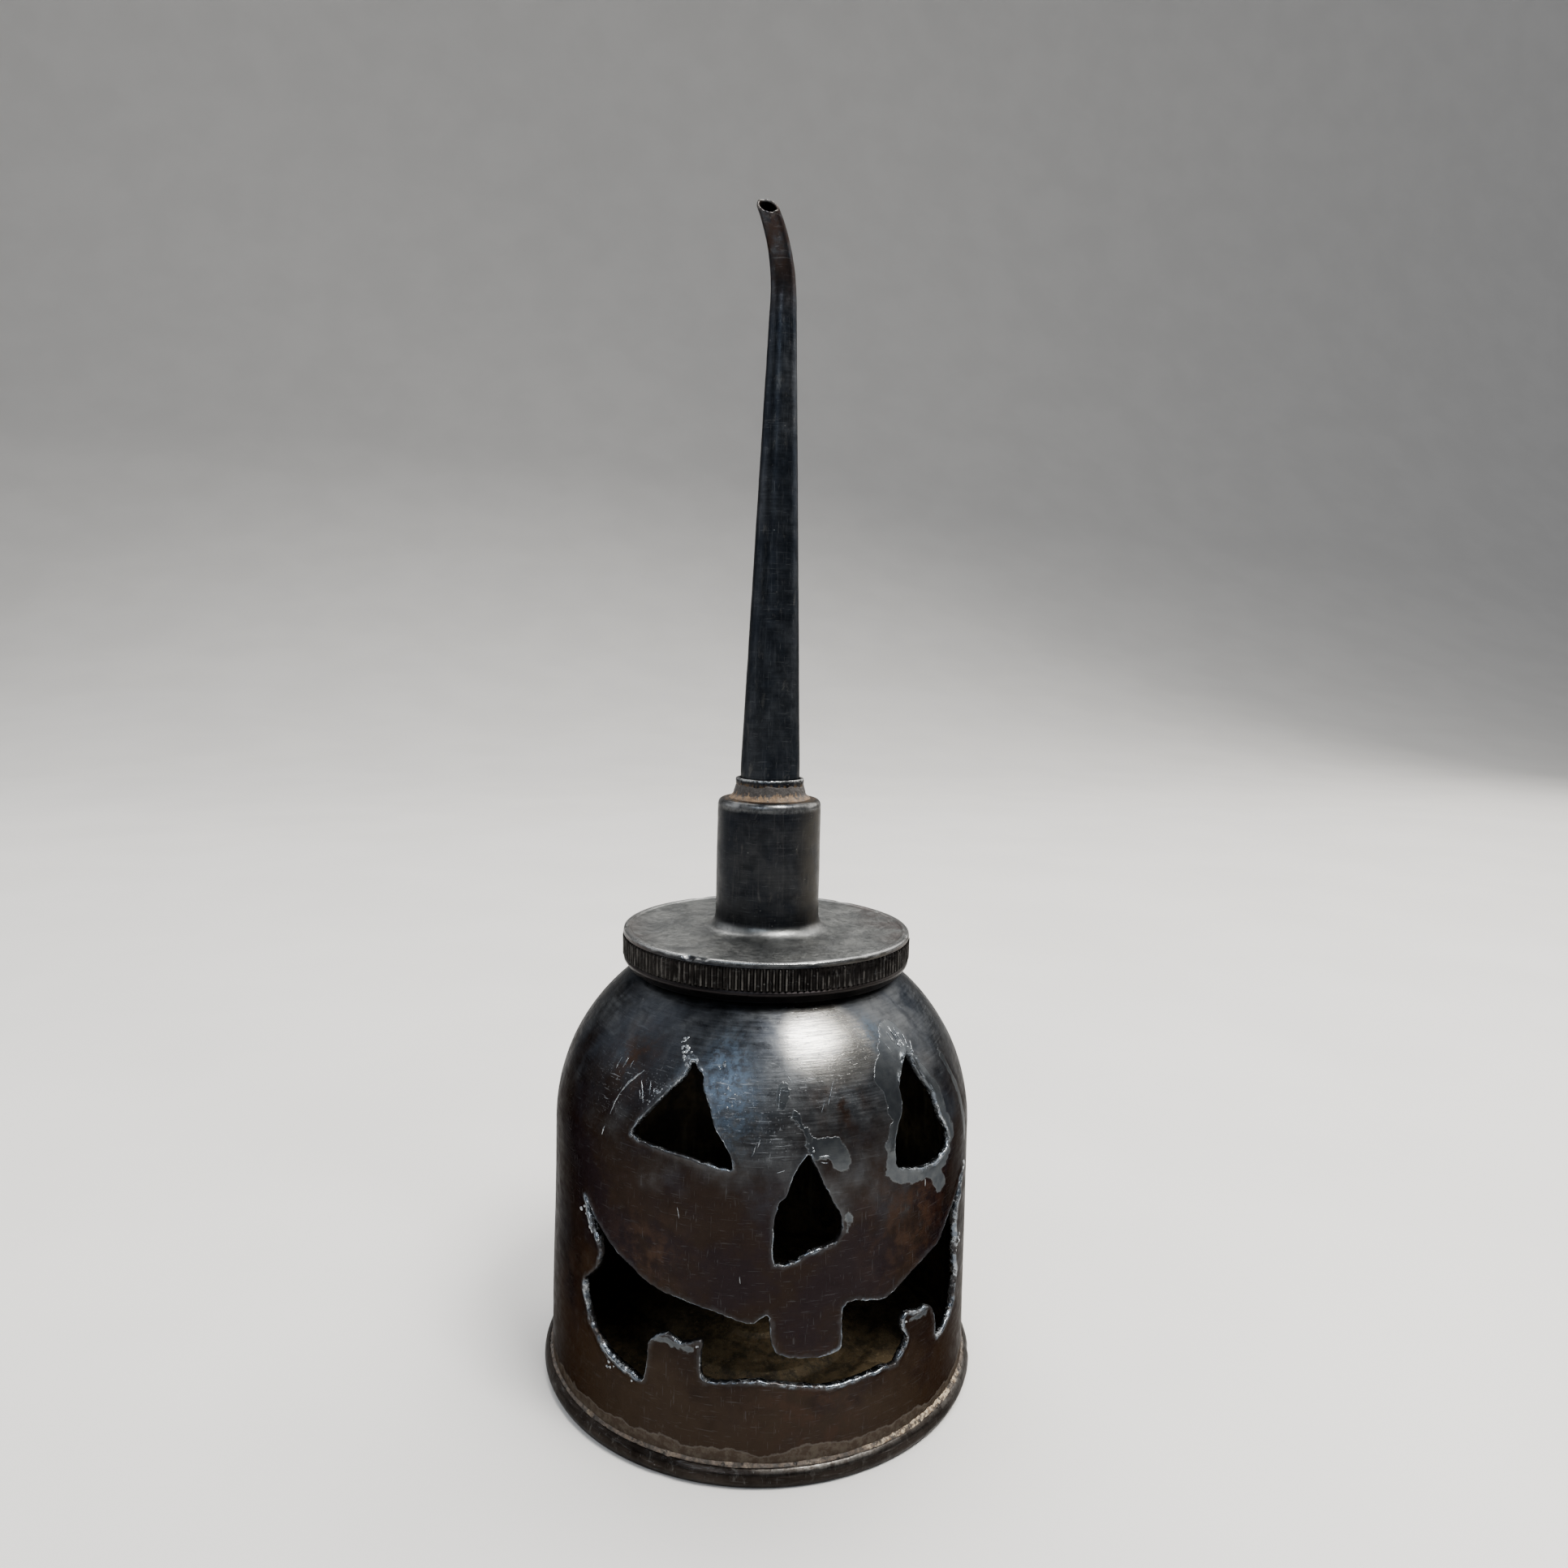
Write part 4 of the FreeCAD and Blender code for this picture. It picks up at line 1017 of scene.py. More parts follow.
class Graph:
    """A material's nodes, with its colour, roughness and bump so far. Positions are in millimetres."""

    def __init__(self, name):
        self.material = bpy.data.materials.new(name)
        self.material.use_nodes = True
        self.tree = self.material.node_tree
        self.tree.nodes.clear()
        output = self.node("OutputMaterial")
        self.shader = self.node("BsdfPrincipled")
        self.tree.links.new(self.shader.outputs["BSDF"], output.inputs["Surface"])
        self.place = self.stretch((1 / MM, 1 / MM, 1 / MM), self.node("TexCoord").outputs["Object"])
        self.colour = None
        self.rough = None
        self.normal = None

    def node(self, kind, **sockets):
        """A new shader node with values or links on its named inputs."""
        node = self.tree.nodes.new("ShaderNode" + kind)
        for label, value in sockets.items():
            self.feed(node.inputs[label.replace("_", " ")], value)
        return node

    def feed(self, socket, value):
        """Links a socket, or sets a plain value or colour."""
        if isinstance(value, bpy.types.NodeSocket):
            self.tree.links.new(value, socket)
        elif socket.type == "RGBA":
            socket.default_value = (*value, 1)
        else:
            socket.default_value = value

    def stretch(self, scale, vector=None):
        """Position scaled along each axis."""
        node = self.node("VectorMath")
        node.operation = "MULTIPLY"
        self.feed(node.inputs[0], vector or self.place)
        node.inputs[1].default_value = scale
        return node.outputs[0]

    def maths(self, operation, first, second=0.0):
        """One Math node."""
        node = self.node("Math")
        node.operation = operation
        self.feed(node.inputs[0], first)
        self.feed(node.inputs[1], second)
        return node.outputs[0]

    def times(self, first, second):
        """Product of two numbers."""
        return self.maths("MULTIPLY", first, second)

    def plus(self, first, second):
        """Sum of two numbers."""
        return self.maths("ADD", first, second)

    def gap(self, value, centre=0.0):
        """How far a value is from a centre, either way."""
        return self.maths("ABSOLUTE", self.maths("SUBTRACT", value, centre))

    def noise(self, scale, detail=3.0, rough=0.55, vector=None, bend=0.0):
        """Noise from 0 to 1 with features about 1/scale millimetres across."""
        sockets = {"Scale": scale, "Detail": detail, "Roughness": rough, "Distortion": bend}
        return self.node("TexNoise", Vector=vector or self.place, **sockets).outputs["Fac"]

    def cells(self, scale):
        """Distance to the nearest of many scattered spots."""
        return self.node("TexVoronoi", Vector=self.place, Scale=scale).outputs["Distance"]

    def between(self, value, low, high, start=0.0, end=1.0):
        """Smooth change from start to end as the value goes from low to high."""
        node = self.node("MapRange", Value=value, From_Min=low, From_Max=high, To_Min=start, To_Max=end)
        node.interpolation_type = "SMOOTHSTEP"
        return node.outputs["Result"]

    def patches(self, scale, detail, rough, low, high, start=0.0, end=1.0, vector=None, bend=0.0):
        """Noise cut into patches: start where it is under low and end where it is over high."""
        return self.between(self.noise(scale, detail, rough, vector, bend), low, high, start, end)

    def wander(self, value, scale, detail, rough, reach):
        """A value that noise moves up and down by up to half its reach."""
        centred = self.maths("SUBTRACT", self.noise(scale, detail, rough), 0.5)
        return self.plus(value, self.times(centred, reach))

    def mix(self, share, first, second, blend="MIX"):
        """Colour mix."""
        node = self.node("Mix")
        node.data_type = "RGBA"
        node.blend_type = blend
        for number, value in ((0, share), (6, first), (7, second)):
            self.feed(node.inputs[number], value)
        return node.outputs[2]

    def paint(self, share, colour):
        """Covers a share of the colour so far."""
        self.colour = self.mix(share, self.colour, colour)

    def smooth(self, share, value):
        """Brings a share of the roughness so far to a value."""
        node = self.node("Mix")
        for number, part in ((0, share), (2, self.rough), (3, value)):
            self.feed(node.inputs[number], part)
        self.rough = node.outputs[0]

    def value(self, label):
        """Number stored on the mesh."""
        node = self.node("Attribute")
        node.attribute_name = label
        return node.outputs["Fac"]

    def axis(self, letter):
        """One coordinate, in millimetres."""
        return self.node("SeparateXYZ", Vector=self.place).outputs[letter]

    def emboss(self, height, depth):
        """Adds a bump whose full range is a depth in millimetres."""
        node = self.node("Bump", Strength=1.0, Distance=depth * MM, Height=height)
        if self.normal is not None:
            self.feed(node.inputs["Normal"], self.normal)
        self.normal = node.outputs["Normal"]

    def finish(self, metal=1.0, edge_tint=1.0):
        """Feeds the shader."""
        self.feed(self.shader.inputs["Base Color"], self.colour)
        self.feed(self.shader.inputs["Roughness"], self.rough)
        self.feed(self.shader.inputs["Normal"], self.normal)
        self.feed(self.shader.inputs["Metallic"], metal)
        self.shader.inputs["Specular Tint"].default_value = (edge_tint, edge_tint, edge_tint, 1)
        return self.material


# linear colours of the shell
BLUE_BLACK = (0.034, 0.039, 0.047)
GUN_GREY = (0.082, 0.087, 0.092)
STEEL_FLECK = (0.17, 0.17, 0.165)
# DEEP_BROWN and PLUM darken the lower and side wall: partly brown patina, partly painted shade
DEEP_BROWN = (0.0155, 0.0104, 0.0080)
PLUM = (0.0128, 0.0092, 0.0098)
FOOT_DUST = (0.030, 0.0215, 0.0155)
RUSSET = (0.032, 0.0200, 0.0150)
# lighter polished steel on the dome, partly a painted highlight under the key light's reflection
POLISHED_STEEL_HIGHLIGHT = (0.235, 0.230, 0.215)
HEAT_BLUE = (0.066, 0.088, 0.115)
FRESH_SCRATCH = (0.2, 0.215, 0.23)
BORDER_DARK = (0.055, 0.042, 0.033)
BORDER_PALE = (0.095, 0.080, 0.064)
BORDER_BRINK = (0.12, 0.11, 0.1)
FILM_SLATE = (0.076, 0.083, 0.088)
FILM_DARK = (0.054, 0.060, 0.067)
FILM_BRINK = (0.15, 0.16, 0.165)
HEAT_HALO = (0.085, 0.092, 0.1)
# bright lip steel, partly molten metal and partly painted glints
MOLTEN_AND_GLINT = (0.250, 0.268, 0.285)
MOLTEN_HOLLOW = (0.095, 0.110, 0.130)
CUT_INNER = (0.05, 0.046, 0.042)
SOOT = (0.012, 0.010, 0.009)
SOOT_BROWN = (0.060, 0.046, 0.026)
INNER_RUST = (0.085, 0.052, 0.026)
INNER_STREAK = (0.10, 0.088, 0.055)
BURR_DARK = (0.09, 0.102, 0.118)
BURR_BRIGHT = (0.30, 0.32, 0.335)

# linear colours of the cap, spout, bead and crusts
HUB_BLACK = (0.010, 0.012, 0.016)
HUB_GREY = (0.026, 0.027, 0.029)
HUB_STREAK = (0.05, 0.05, 0.05)
HUB_SMEAR = (0.085, 0.082, 0.076)
HUB_RIGHT = (0.046, 0.042, 0.036)
# FLANGE_GREY and FLANGE_PALE paint the flange's top face lighter: partly worn steel, partly painted light
# from above
FLANGE_GREY = (0.115, 0.120, 0.120)
FLANGE_PALE = (0.21, 0.215, 0.21)
FLANGE_GRIME = (0.075, 0.08, 0.082)
FLANGE_RED = (0.062, 0.040, 0.036)
# worn steel of the cap's edges, partly a painted highlight
CAP_WORN_AND_HIGHLIGHT = (0.24, 0.245, 0.245)
CAP_SCRATCH = (0.17, 0.175, 0.18)
# near-black painted shade on the skirt under the flange
SKIRT_SHADE = (0.012, 0.010, 0.010)
COLLAR_STAIN = (0.20, 0.125, 0.06)
STEEL_SMEAR = (0.105, 0.103, 0.098)
STEEL_SCRATCH = (0.16, 0.165, 0.17)
CREAM = (0.380, 0.310, 0.215)
TAN = (0.150, 0.093, 0.048)
TAN_DARK = (0.085, 0.052, 0.028)
COLLAR_DRIP = (0.025, 0.021, 0.019)
COLLAR_GRIME = (0.05, 0.04, 0.03)
SOLDER_DARK = (0.09, 0.08, 0.07)
SOLDER_GREY = (0.24, 0.21, 0.17)
SOLDER_PALE = (0.36, 0.33, 0.28)
SOLDER_PIT = (0.02, 0.014, 0.01)
SEAM_GRIME = (0.022, 0.017, 0.013)
SEAM_BROWN = (0.075, 0.055, 0.040)
SEAM_RUST = (0.16, 0.105, 0.06)
SEAM_PIT = (0.012, 0.009, 0.007)

# (dark, light, worn and lit) steel of the bead, knurl and spout, the worn and lit tone being partly a painted
# highlight on the bead, and the spout's browner tip
BEAD_TONES = ((0.012, 0.0095, 0.008), (0.029, 0.024, 0.021), (0.17, 0.165, 0.155))
KNURL_TONES = ((0.005, 0.0045, 0.0045), (0.012, 0.011, 0.0105), (0.060, 0.057, 0.054))
SPOUT_TONES = ((0.013, 0.016, 0.021), (0.033, 0.036, 0.041), (0.22, 0.22, 0.21))
TIP_BROWN = (0.022, 0.015, 0.013)

# linear colours of the spring bottom, the brass and the leather
OLIVE = (0.030, 0.024, 0.014)
OCHRE = (0.105, 0.076, 0.040)
OCHRE_PALE = (0.17, 0.13, 0.075)
OIL_BLACK = (0.016, 0.013, 0.010)
BRASS_DULL = (0.16, 0.105, 0.042)
BRASS = (0.42, 0.30, 0.13)
BRASS_GRIME = (0.04, 0.03, 0.018)
LEATHER_DARK = (0.022, 0.012, 0.007)
LEATHER = (0.085, 0.045, 0.022)
LEATHER_PIT = (0.012, 0.007, 0.004)


def steel_base(graph, dark, light):
    """Paints mottled dark steel, and gives its brushed lines and fine grain."""
    graph.colour = graph.mix(graph.patches(0.07, 5, 0.6, 0.38, 0.64, bend=0.4), dark, light)
    deeper = tuple(0.45 * part for part in dark)
    graph.paint(graph.patches(0.32, 4, 0.6, 0.42, 0.66, 0.0, 0.45, bend=0.6), deeper)
    lines = graph.noise(1.0, 4, 0.65, graph.stretch((0.16, 0.16, 3.2)))
    shade = graph.between(lines, 0.3, 0.7, 0.86, 1.16)
    graph.colour = graph.mix(1.0, graph.colour, shade, "MULTIPLY")
    fleck = graph.between(graph.cells(0.55), 0.05, 0.09, 1.0, 0.0)
    fleck = graph.times(fleck, graph.patches(0.21, 2, 0.55, 0.52, 0.62))
    graph.paint(graph.times(fleck, 0.55), STEEL_FLECK)
    return lines, graph.noise(3.4, 3, 0.7)


def scratches(graph, strength):
    """Thin scattered scratches in two directions, as strong as a mask lets them be."""
    level_ones = graph.patches(1.0, 2, 0.5, 0.645, 0.69, vector=graph.stretch((0.35, 0.35, 4.6)), bend=0.8)
    upright_ones = graph.patches(1.0, 2, 0.5, 0.66, 0.70, vector=graph.stretch((3.9, 3.9, 0.4)), bend=0.6)
    return graph.times(graph.maths("MAXIMUM", level_ones, upright_ones), strength)


def tint_shell(graph):
    """Browns and darkens the shell towards its foot and sides, partly brown patina and partly painted shade
    and a painted reflection of a dark brown surface, then adds dust, russet, polished steel with a painted
    highlight on the dome, blue and scratches.
    """
    # darker and browner towards the foot and the sides: partly brown patina, partly painted shade and a
    # painted reflection of a dark brown surface
    low = graph.wander(graph.axis("Z"), 0.13, 5, 0.6, 44)
    low = graph.maths("SUBTRACT", low, graph.between(graph.gap(graph.axis("X"), 4.0), 16, 37, 0.0, 10.0))
    brown = graph.between(low, 40, 66, 0.97, 0.1)
    graph.paint(brown, graph.mix(graph.patches(0.09, 4, 0.6, 0.42, 0.6), DEEP_BROWN, PLUM))
    graph.paint(graph.between(low, 6, 24, 0.75, 0.0), FOOT_DUST)
    graph.paint(graph.times(graph.value("russet"), graph.patches(0.4, 4, 0.6, 0.4, 0.65)), RUSSET)
    rub = graph.patches(1.0, 4, 0.7, 0.3, 0.6, 0.35, 1.0, vector=graph.stretch((0.22, 0.22, 5.5)))
    # lighter polished steel where the key light reflects on the dome: partly polished, partly a painted
    # highlight
    polish_and_highlight = graph.times(graph.between(graph.value("polish_and_highlight"), 0.12, 0.8), rub)
    graph.paint(graph.times(polish_and_highlight, 0.85), POLISHED_STEEL_HIGHLIGHT)
    mottle = graph.times(graph.patches(0.9, 5, 0.65, 0.38, 0.62), 0.85)
    graph.paint(graph.times(graph.value("blue"), mottle), HEAT_BLUE)
    marks = scratches(graph, graph.plus(graph.times(graph.value("scuff"), 0.75), 0.07))
    graph.paint(marks, FRESH_SCRATCH)
    return brown, polish_and_highlight, marks


def paint_border(graph):
    """Dusty patina above the foot, with a wandering paler brink."""
    border = graph.wander(graph.axis("Z"), 0.22, 4, 0.55, 4.2)
    below = graph.between(border, 5.5, 5.75, 1.0, 0.0)
    dusty = graph.mix(graph.patches(0.8, 5, 0.7, 0.4, 0.62), BORDER_DARK, BORDER_PALE)
    graph.paint(graph.times(below, 0.72), dusty)
    brink = graph.between(graph.gap(border, 5.62), 0.06, 0.24, 1.0, 0.0)
    graph.paint(graph.times(brink, 0.35), BORDER_BRINK)
    return below


def paint_film(graph):
    """Slate-grey glassy film with a thin pale brink."""
    film = graph.wander(graph.value("film"), 0.55, 4, 0.55, 2.3)
    filmed = graph.between(film, -0.06, 0.1, 1.0, 0.0)
    slate = graph.mix(graph.patches(0.6, 3, 0.5, 0.35, 0.65), FILM_SLATE, FILM_DARK)
    graph.paint(graph.times(filmed, 0.88), slate)
    brink = graph.between(graph.gap(film), 0.05, 0.22, 1.0, 0.0)
    graph.paint(graph.times(brink, 0.2), FILM_BRINK)
    return filmed


def paint_cuts(graph):
    """Heat halo along the cuts, and patchy bright metal on the lips that is partly molten steel and partly
    painted glints, with a thin painted highlight line at the edge, dull on the inner side.
    """
    edge_gap = graph.value("edge_gap")
    halo_gap = graph.plus(edge_gap, graph.times(graph.noise(0.8, 4, 0.6), 1.6))
    graph.paint(graph.between(halo_gap, 0.7, 1.7, 0.2, 0.0), HEAT_HALO)
    # thin bright line right at the cut edge: a painted highlight on the rounded lip
    thin = graph.between(edge_gap, 0.0, 0.2, 0.6, 0.0)
    thin = graph.times(thin, graph.patches(0.13, 5, 0.6, 0.4, 0.6, 0.3, 1.0))
    bright = graph.plus(graph.times(graph.value("lip"), 1.15), thin)
    bright = graph.times(bright, graph.patches(0.8, 4, 0.6, 0.36, 0.62, 0.3, 1.1))
    bright = graph.times(bright, graph.patches(0.17, 3, 0.5, 0.38, 0.6, 0.45, 1.1))
    bright = graph.between(bright, 0.14, 0.62)
    # bright lip steel in patches: partly molten steel, partly painted glints
    graph.paint(bright, graph.mix(graph.patches(0.8, 3, 0.55, 0.42, 0.6), MOLTEN_AND_GLINT, MOLTEN_HOLLOW))
    graph.paint(graph.between(graph.value("inner"), 0.15, 0.9), CUT_INNER)
    return bright


def shell_steel():
    """Heat-tinted dark steel of the shell, with films, stains, scuffs, painted shade low down and at the
    sides, a painted highlight on the polished dome, and bright edges that are partly molten steel and partly
    painted glints.
    """
    graph = Graph("shell_steel")
    lines, grain = steel_base(graph, BLUE_BLACK, GUN_GREY)
    brown, polish_and_highlight, marks = tint_shell(graph)
    below = paint_border(graph)
    filmed = paint_film(graph)
    bright = paint_cuts(graph)
    graph.rough = graph.plus(graph.patches(0.5, 4, 0.6, 0.3, 0.7, 0.3, 0.43), graph.times(brown, 0.05))
    graph.rough = graph.plus(graph.rough, graph.between(lines, 0.3, 0.7, -0.05, 0.05))
    for share, value in ((filmed, 0.3), (below, 0.56), (polish_and_highlight, 0.2), (bright, 0.24)):
        graph.smooth(share, value)
    lumps = graph.times(graph.noise(0.9), graph.between(bright, 0.1, 0.6))
    grooves = graph.times(marks, -1.0)
    for bumps, depth in ((lines, 0.016), (grain, 0.012), (grooves, 0.03), (filmed, 0.05), (lumps, 0.14)):
        graph.emboss(bumps, depth)
    return graph.finish(edge_tint=0.4)


def soot_inside():
    """Smoked and rusty inner face of the shell."""
    graph = Graph("soot_inside")
    graph.colour = graph.mix(graph.patches(0.14, 5, 0.62, 0.42, 0.64), SOOT, SOOT_BROWN)
    low = graph.between(graph.axis("Z"), 6, 30, 0.75, 0.1)
    graph.paint(graph.times(low, graph.patches(0.6, 5, 0.7, 0.42, 0.62)), INNER_RUST)
    streaks = graph.patches(1.0, 3, 0.5, 0.55, 0.7, 0.0, 0.5, vector=graph.stretch((0.5, 0.5, 0.06)))
    graph.paint(streaks, INNER_STREAK)
    graph.rough = graph.patches(0.7, 4, 0.55, 0.3, 0.7, 0.5, 0.78)
    graph.emboss(graph.noise(1.4, 5, 0.7), 0.09)
    return graph.finish(metal=0.25, edge_tint=0.5)


def molten_steel():
    """Bright frozen beads and burrs, blue-grey in their hollows."""
    graph = Graph("molten_steel")
    graph.colour = graph.mix(graph.patches(1.5, 4, 0.6, 0.36, 0.62), BURR_DARK, BURR_BRIGHT)
    graph.rough = graph.patches(2.2, 3, 0.55, 0.3, 0.7, 0.2, 0.38)
    graph.emboss(graph.noise(2.6, 4, 0.65), 0.08)
    return graph.finish()


def worn_steel(name, tones, streak, tip=None, edge_tint=0.6):
    """Dark steel of the knurl, spout or bead: streaked, and brighter where it is worn, on the bead partly as
    a painted highlight.
    """
    graph = Graph(name)
    dark, light, rubbed_and_lit = tones
    _, grain = steel_base(graph, dark, light)
    lines = graph.noise(1.0, 4, 0.6, graph.stretch(streak))
    graph.paint(graph.between(lines, 0.52, 0.7, 0.0, 0.4), tuple(1.5 * part for part in light))
    smear = graph.patches(1.0, 5, 0.7, 0.57, 0.7, 0.0, 0.38, vector=graph.stretch((0.5, 0.5, 0.2)), bend=0.5)
    graph.paint(smear, STEEL_SMEAR)
    if tip is not None:
        upper = graph.between(graph.axis("Z"), *tip)
        graph.paint(graph.times(upper, graph.patches(0.3, 4, 0.6, 0.3, 0.6)), TIP_BROWN)
    # worn steel painted brighter; on the bead's crest this is partly a painted highlight
    wear_and_highlight = graph.times(graph.value("wear_and_highlight"), graph.patches(0.55, 5, 0.7, 0.3, 0.62, 0.35, 1.1))
    wear_and_highlight = graph.between(wear_and_highlight, 0.1, 0.95)
    graph.paint(wear_and_highlight, rubbed_and_lit)
    graph.paint(scratches(graph, 0.16), STEEL_SCRATCH)
    graph.rough = graph.patches(0.6, 4, 0.6, 0.3, 0.7, 0.3, 0.44)
    graph.smooth(wear_and_highlight, 0.27)
    for bumps, depth in ((lines, 0.014), (grain, 0.014), (graph.noise(0.8, 4, 0.6), 0.03)):
        graph.emboss(bumps, depth)
    return graph.finish(edge_tint=edge_tint)


def paint_flange(graph, height):
    """Satin grey on the flange's top face, partly worn in patches and partly painted light falling on the
    top, with reddish grime at its sides.
    """
    # the top face is painted much lighter than the rest of the cap: partly worn satin steel, partly painted
    # light falling on it from above
    on_top = graph.times(graph.between(height, 80.7, 80.98), graph.between(height, 81.6, 83.2, 1.0, 0.0))
    rubbed_and_lit = graph.mix(graph.patches(0.16, 5, 0.65, 0.4, 0.62, bend=0.5), FLANGE_GREY, FLANGE_PALE)
    rubbed_and_lit = graph.mix(graph.patches(1.3, 5, 0.7, 0.52, 0.68, 0.0, 0.55), rubbed_and_lit, FLANGE_GRIME)
    graph.paint(graph.times(on_top, 0.9), rubbed_and_lit)
    side = graph.between(graph.gap(graph.axis("X"), -2.0), 17, 25)
    side = graph.times(side, graph.patches(0.2, 4, 0.6, 0.36, 0.58))
    below_hub = graph.between(height, 80.0, 83.0, 1.0, 0.0)
    graph.paint(graph.times(graph.times(side, below_hub), 0.62), FLANGE_RED)
    return on_top


def cap_steel():
    """Cap: blue-black hub with upright streaks, a satin flange worn and painted lighter on top as painted
    light, edges partly painted highlight, a lower skirt painted near-black as painted shade, and a stained
    collar.
    """
    graph = Graph("cap_steel")
    _, grain = steel_base(graph, HUB_BLACK, HUB_GREY)
    height = graph.axis("Z")
    lines = graph.noise(1.0, 4, 0.6, graph.stretch((2.4, 2.4, 0.14)))
    graph.paint(graph.between(lines, 0.52, 0.72, 0.0, 0.3), HUB_STREAK)
    smear = graph.patches(1.0, 5, 0.7, 0.58, 0.7, 0.0, 0.3, vector=graph.stretch((0.5, 0.5, 0.2)), bend=0.5)
    graph.paint(smear, HUB_SMEAR)
    right_side = graph.between(graph.axis("X"), 2.0, 7.5)
    graph.paint(graph.times(right_side, graph.patches(0.3, 4, 0.6, 0.3, 0.6, 0.3, 0.9)), HUB_RIGHT)
    on_top = paint_flange(graph, height)
    # worn steel on the cap's edges, partly a painted highlight, and a painted highlight ring on the hub's
    # foot fillet
    wear_and_highlight = graph.times(graph.value("wear_and_highlight"), graph.patches(0.5, 5, 0.7, 0.3, 0.62, 0.4, 1.1))
    wear_and_highlight = graph.between(wear_and_highlight, 0.1, 0.95)
    graph.paint(wear_and_highlight, CAP_WORN_AND_HIGHLIGHT)
    graph.paint(scratches(graph, graph.plus(graph.times(on_top, 0.3), 0.1)), CAP_SCRATCH)
    # lower skirt under the flange painted near-black as painted shade
    graph.paint(graph.between(height, 76.6, 77.4, 0.85, 0.0), SKIRT_SHADE)
    collar = graph.times(graph.between(height, 104.4, 104.8), graph.between(height, 106.4, 107.8, 1.0, 0.0))
    drip = graph.patches(1.0, 4, 0.6, 0.46, 0.56, vector=graph.stretch((1.5, 1.5, 0.25)))
    graph.paint(graph.times(collar, drip), COLLAR_STAIN)
    graph.rough = graph.patches(0.6, 4, 0.6, 0.3, 0.7, 0.3, 0.42)
    graph.smooth(graph.times(on_top, 0.8), graph.patches(0.9, 5, 0.7, 0.35, 0.65, 0.36, 0.5))
    graph.smooth(wear_and_highlight, 0.25)
    lumps = graph.times(graph.noise(0.9, 5, 0.65), on_top)
    for bumps, depth in ((lines, 0.012), (grain, 0.016), (lumps, 0.07)):
        graph.emboss(bumps, depth)
    return graph.finish(edge_tint=0.7)


def neck_solder_grey():
    """Dull grey solder with dirt in its pits."""
    graph = Graph("neck_solder_grey")
    graph.colour = graph.mix(graph.patches(0.8, 5, 0.7, 0.36, 0.5), SOLDER_DARK, SOLDER_GREY)
    graph.paint(graph.patches(1.36, 4, 0.7, 0.5, 0.6), SOLDER_PALE)
    holes = graph.between(graph.cells(0.88), 0.12, 0.28, 1.0, 0.0)
    graph.paint(graph.times(holes, 0.85), SOLDER_PIT)
    graph.rough = graph.patches(0.8, 4, 0.55, 0.3, 0.7, 0.48, 0.8)
    graph.emboss(graph.noise(1.76, 5, 0.7), 0.16)
    graph.emboss(graph.times(holes, -1.0), 0.2)
    return graph.finish(metal=0.1)


def seam_rust():
    """Dark grime in the seam, with cream and rusty crust where the solder is heavy."""
    graph = Graph("seam_rust")
    graph.colour = graph.mix(graph.patches(0.9, 5, 0.7, 0.4, 0.6), SEAM_GRIME, SEAM_BROWN)
    pale = graph.mix(graph.patches(1.3, 4, 0.7, 0.42, 0.6), SEAM_RUST, CREAM)
    share = graph.times(graph.value("heavy"), graph.patches(0.65, 5, 0.7, 0.42, 0.58, 0.0, 1.3))
    graph.paint(graph.between(share, 0.25, 0.9), pale)
    holes = graph.between(graph.cells(0.8), 0.12, 0.3, 1.0, 0.0)
    graph.paint(graph.times(holes, 0.9), SEAM_PIT)
    graph.rough = graph.patches(1.0, 4, 0.55, 0.3, 0.7, 0.45, 0.8)
    graph.emboss(graph.noise(1.8, 5, 0.7), 0.16)
    graph.emboss(graph.times(holes, -1.0), 0.2)
    return graph.finish(metal=0.1)


def collar_solder():
    """Tan and rust-stained solder with dark drips running down it."""
    graph = Graph("collar_solder")
    graph.colour = graph.mix(graph.patches(0.9, 5, 0.7, 0.38, 0.62), TAN_DARK, TAN)
    graph.paint(graph.patches(1.9, 4, 0.7, 0.58, 0.7, 0.0, 0.35), CREAM)
    height = graph.axis("Z")
    drip = graph.times(graph.noise(1.0, 4, 0.65, graph.stretch((1.6, 1.6, 0.3))), 5.2)
    reach = graph.plus(drip, graph.plus(height, -107.75))
    graph.paint(graph.between(reach, 0.0, 0.5), COLLAR_DRIP)
    grime = graph.plus(height, graph.times(graph.noise(0.9, 5, 0.7), 0.6))
    graph.paint(graph.between(grime, 104.85, 105.1, 0.7, 0.0), COLLAR_GRIME)
    graph.rough = graph.patches(1.2, 4, 0.55, 0.3, 0.7, 0.45, 0.72)
    graph.emboss(graph.noise(2.6, 5, 0.7), 0.14)
    return graph.finish(metal=0.15)


def spring_steel():
    """Rust-brown film over dull spring steel, olive and grimy inside the can."""
    graph = Graph("spring_steel")
    graph.colour = graph.mix(graph.patches(0.35, 5, 0.7, 0.36, 0.6), OLIVE, OCHRE)
    speck = graph.noise(1.2, 5, 0.75)
    graph.paint(graph.between(speck, 0.56, 0.66, 0.0, 0.85), OCHRE_PALE)
    graph.paint(graph.between(speck, 0.44, 0.34, 0.0, 0.8), OIL_BLACK)
    graph.rough = graph.patches(0.9, 4, 0.55, 0.3, 0.7, 0.42, 0.7)
    graph.emboss(graph.noise(1.5, 5, 0.72), 0.16)
    return graph.finish(metal=0.35, edge_tint=0.6)


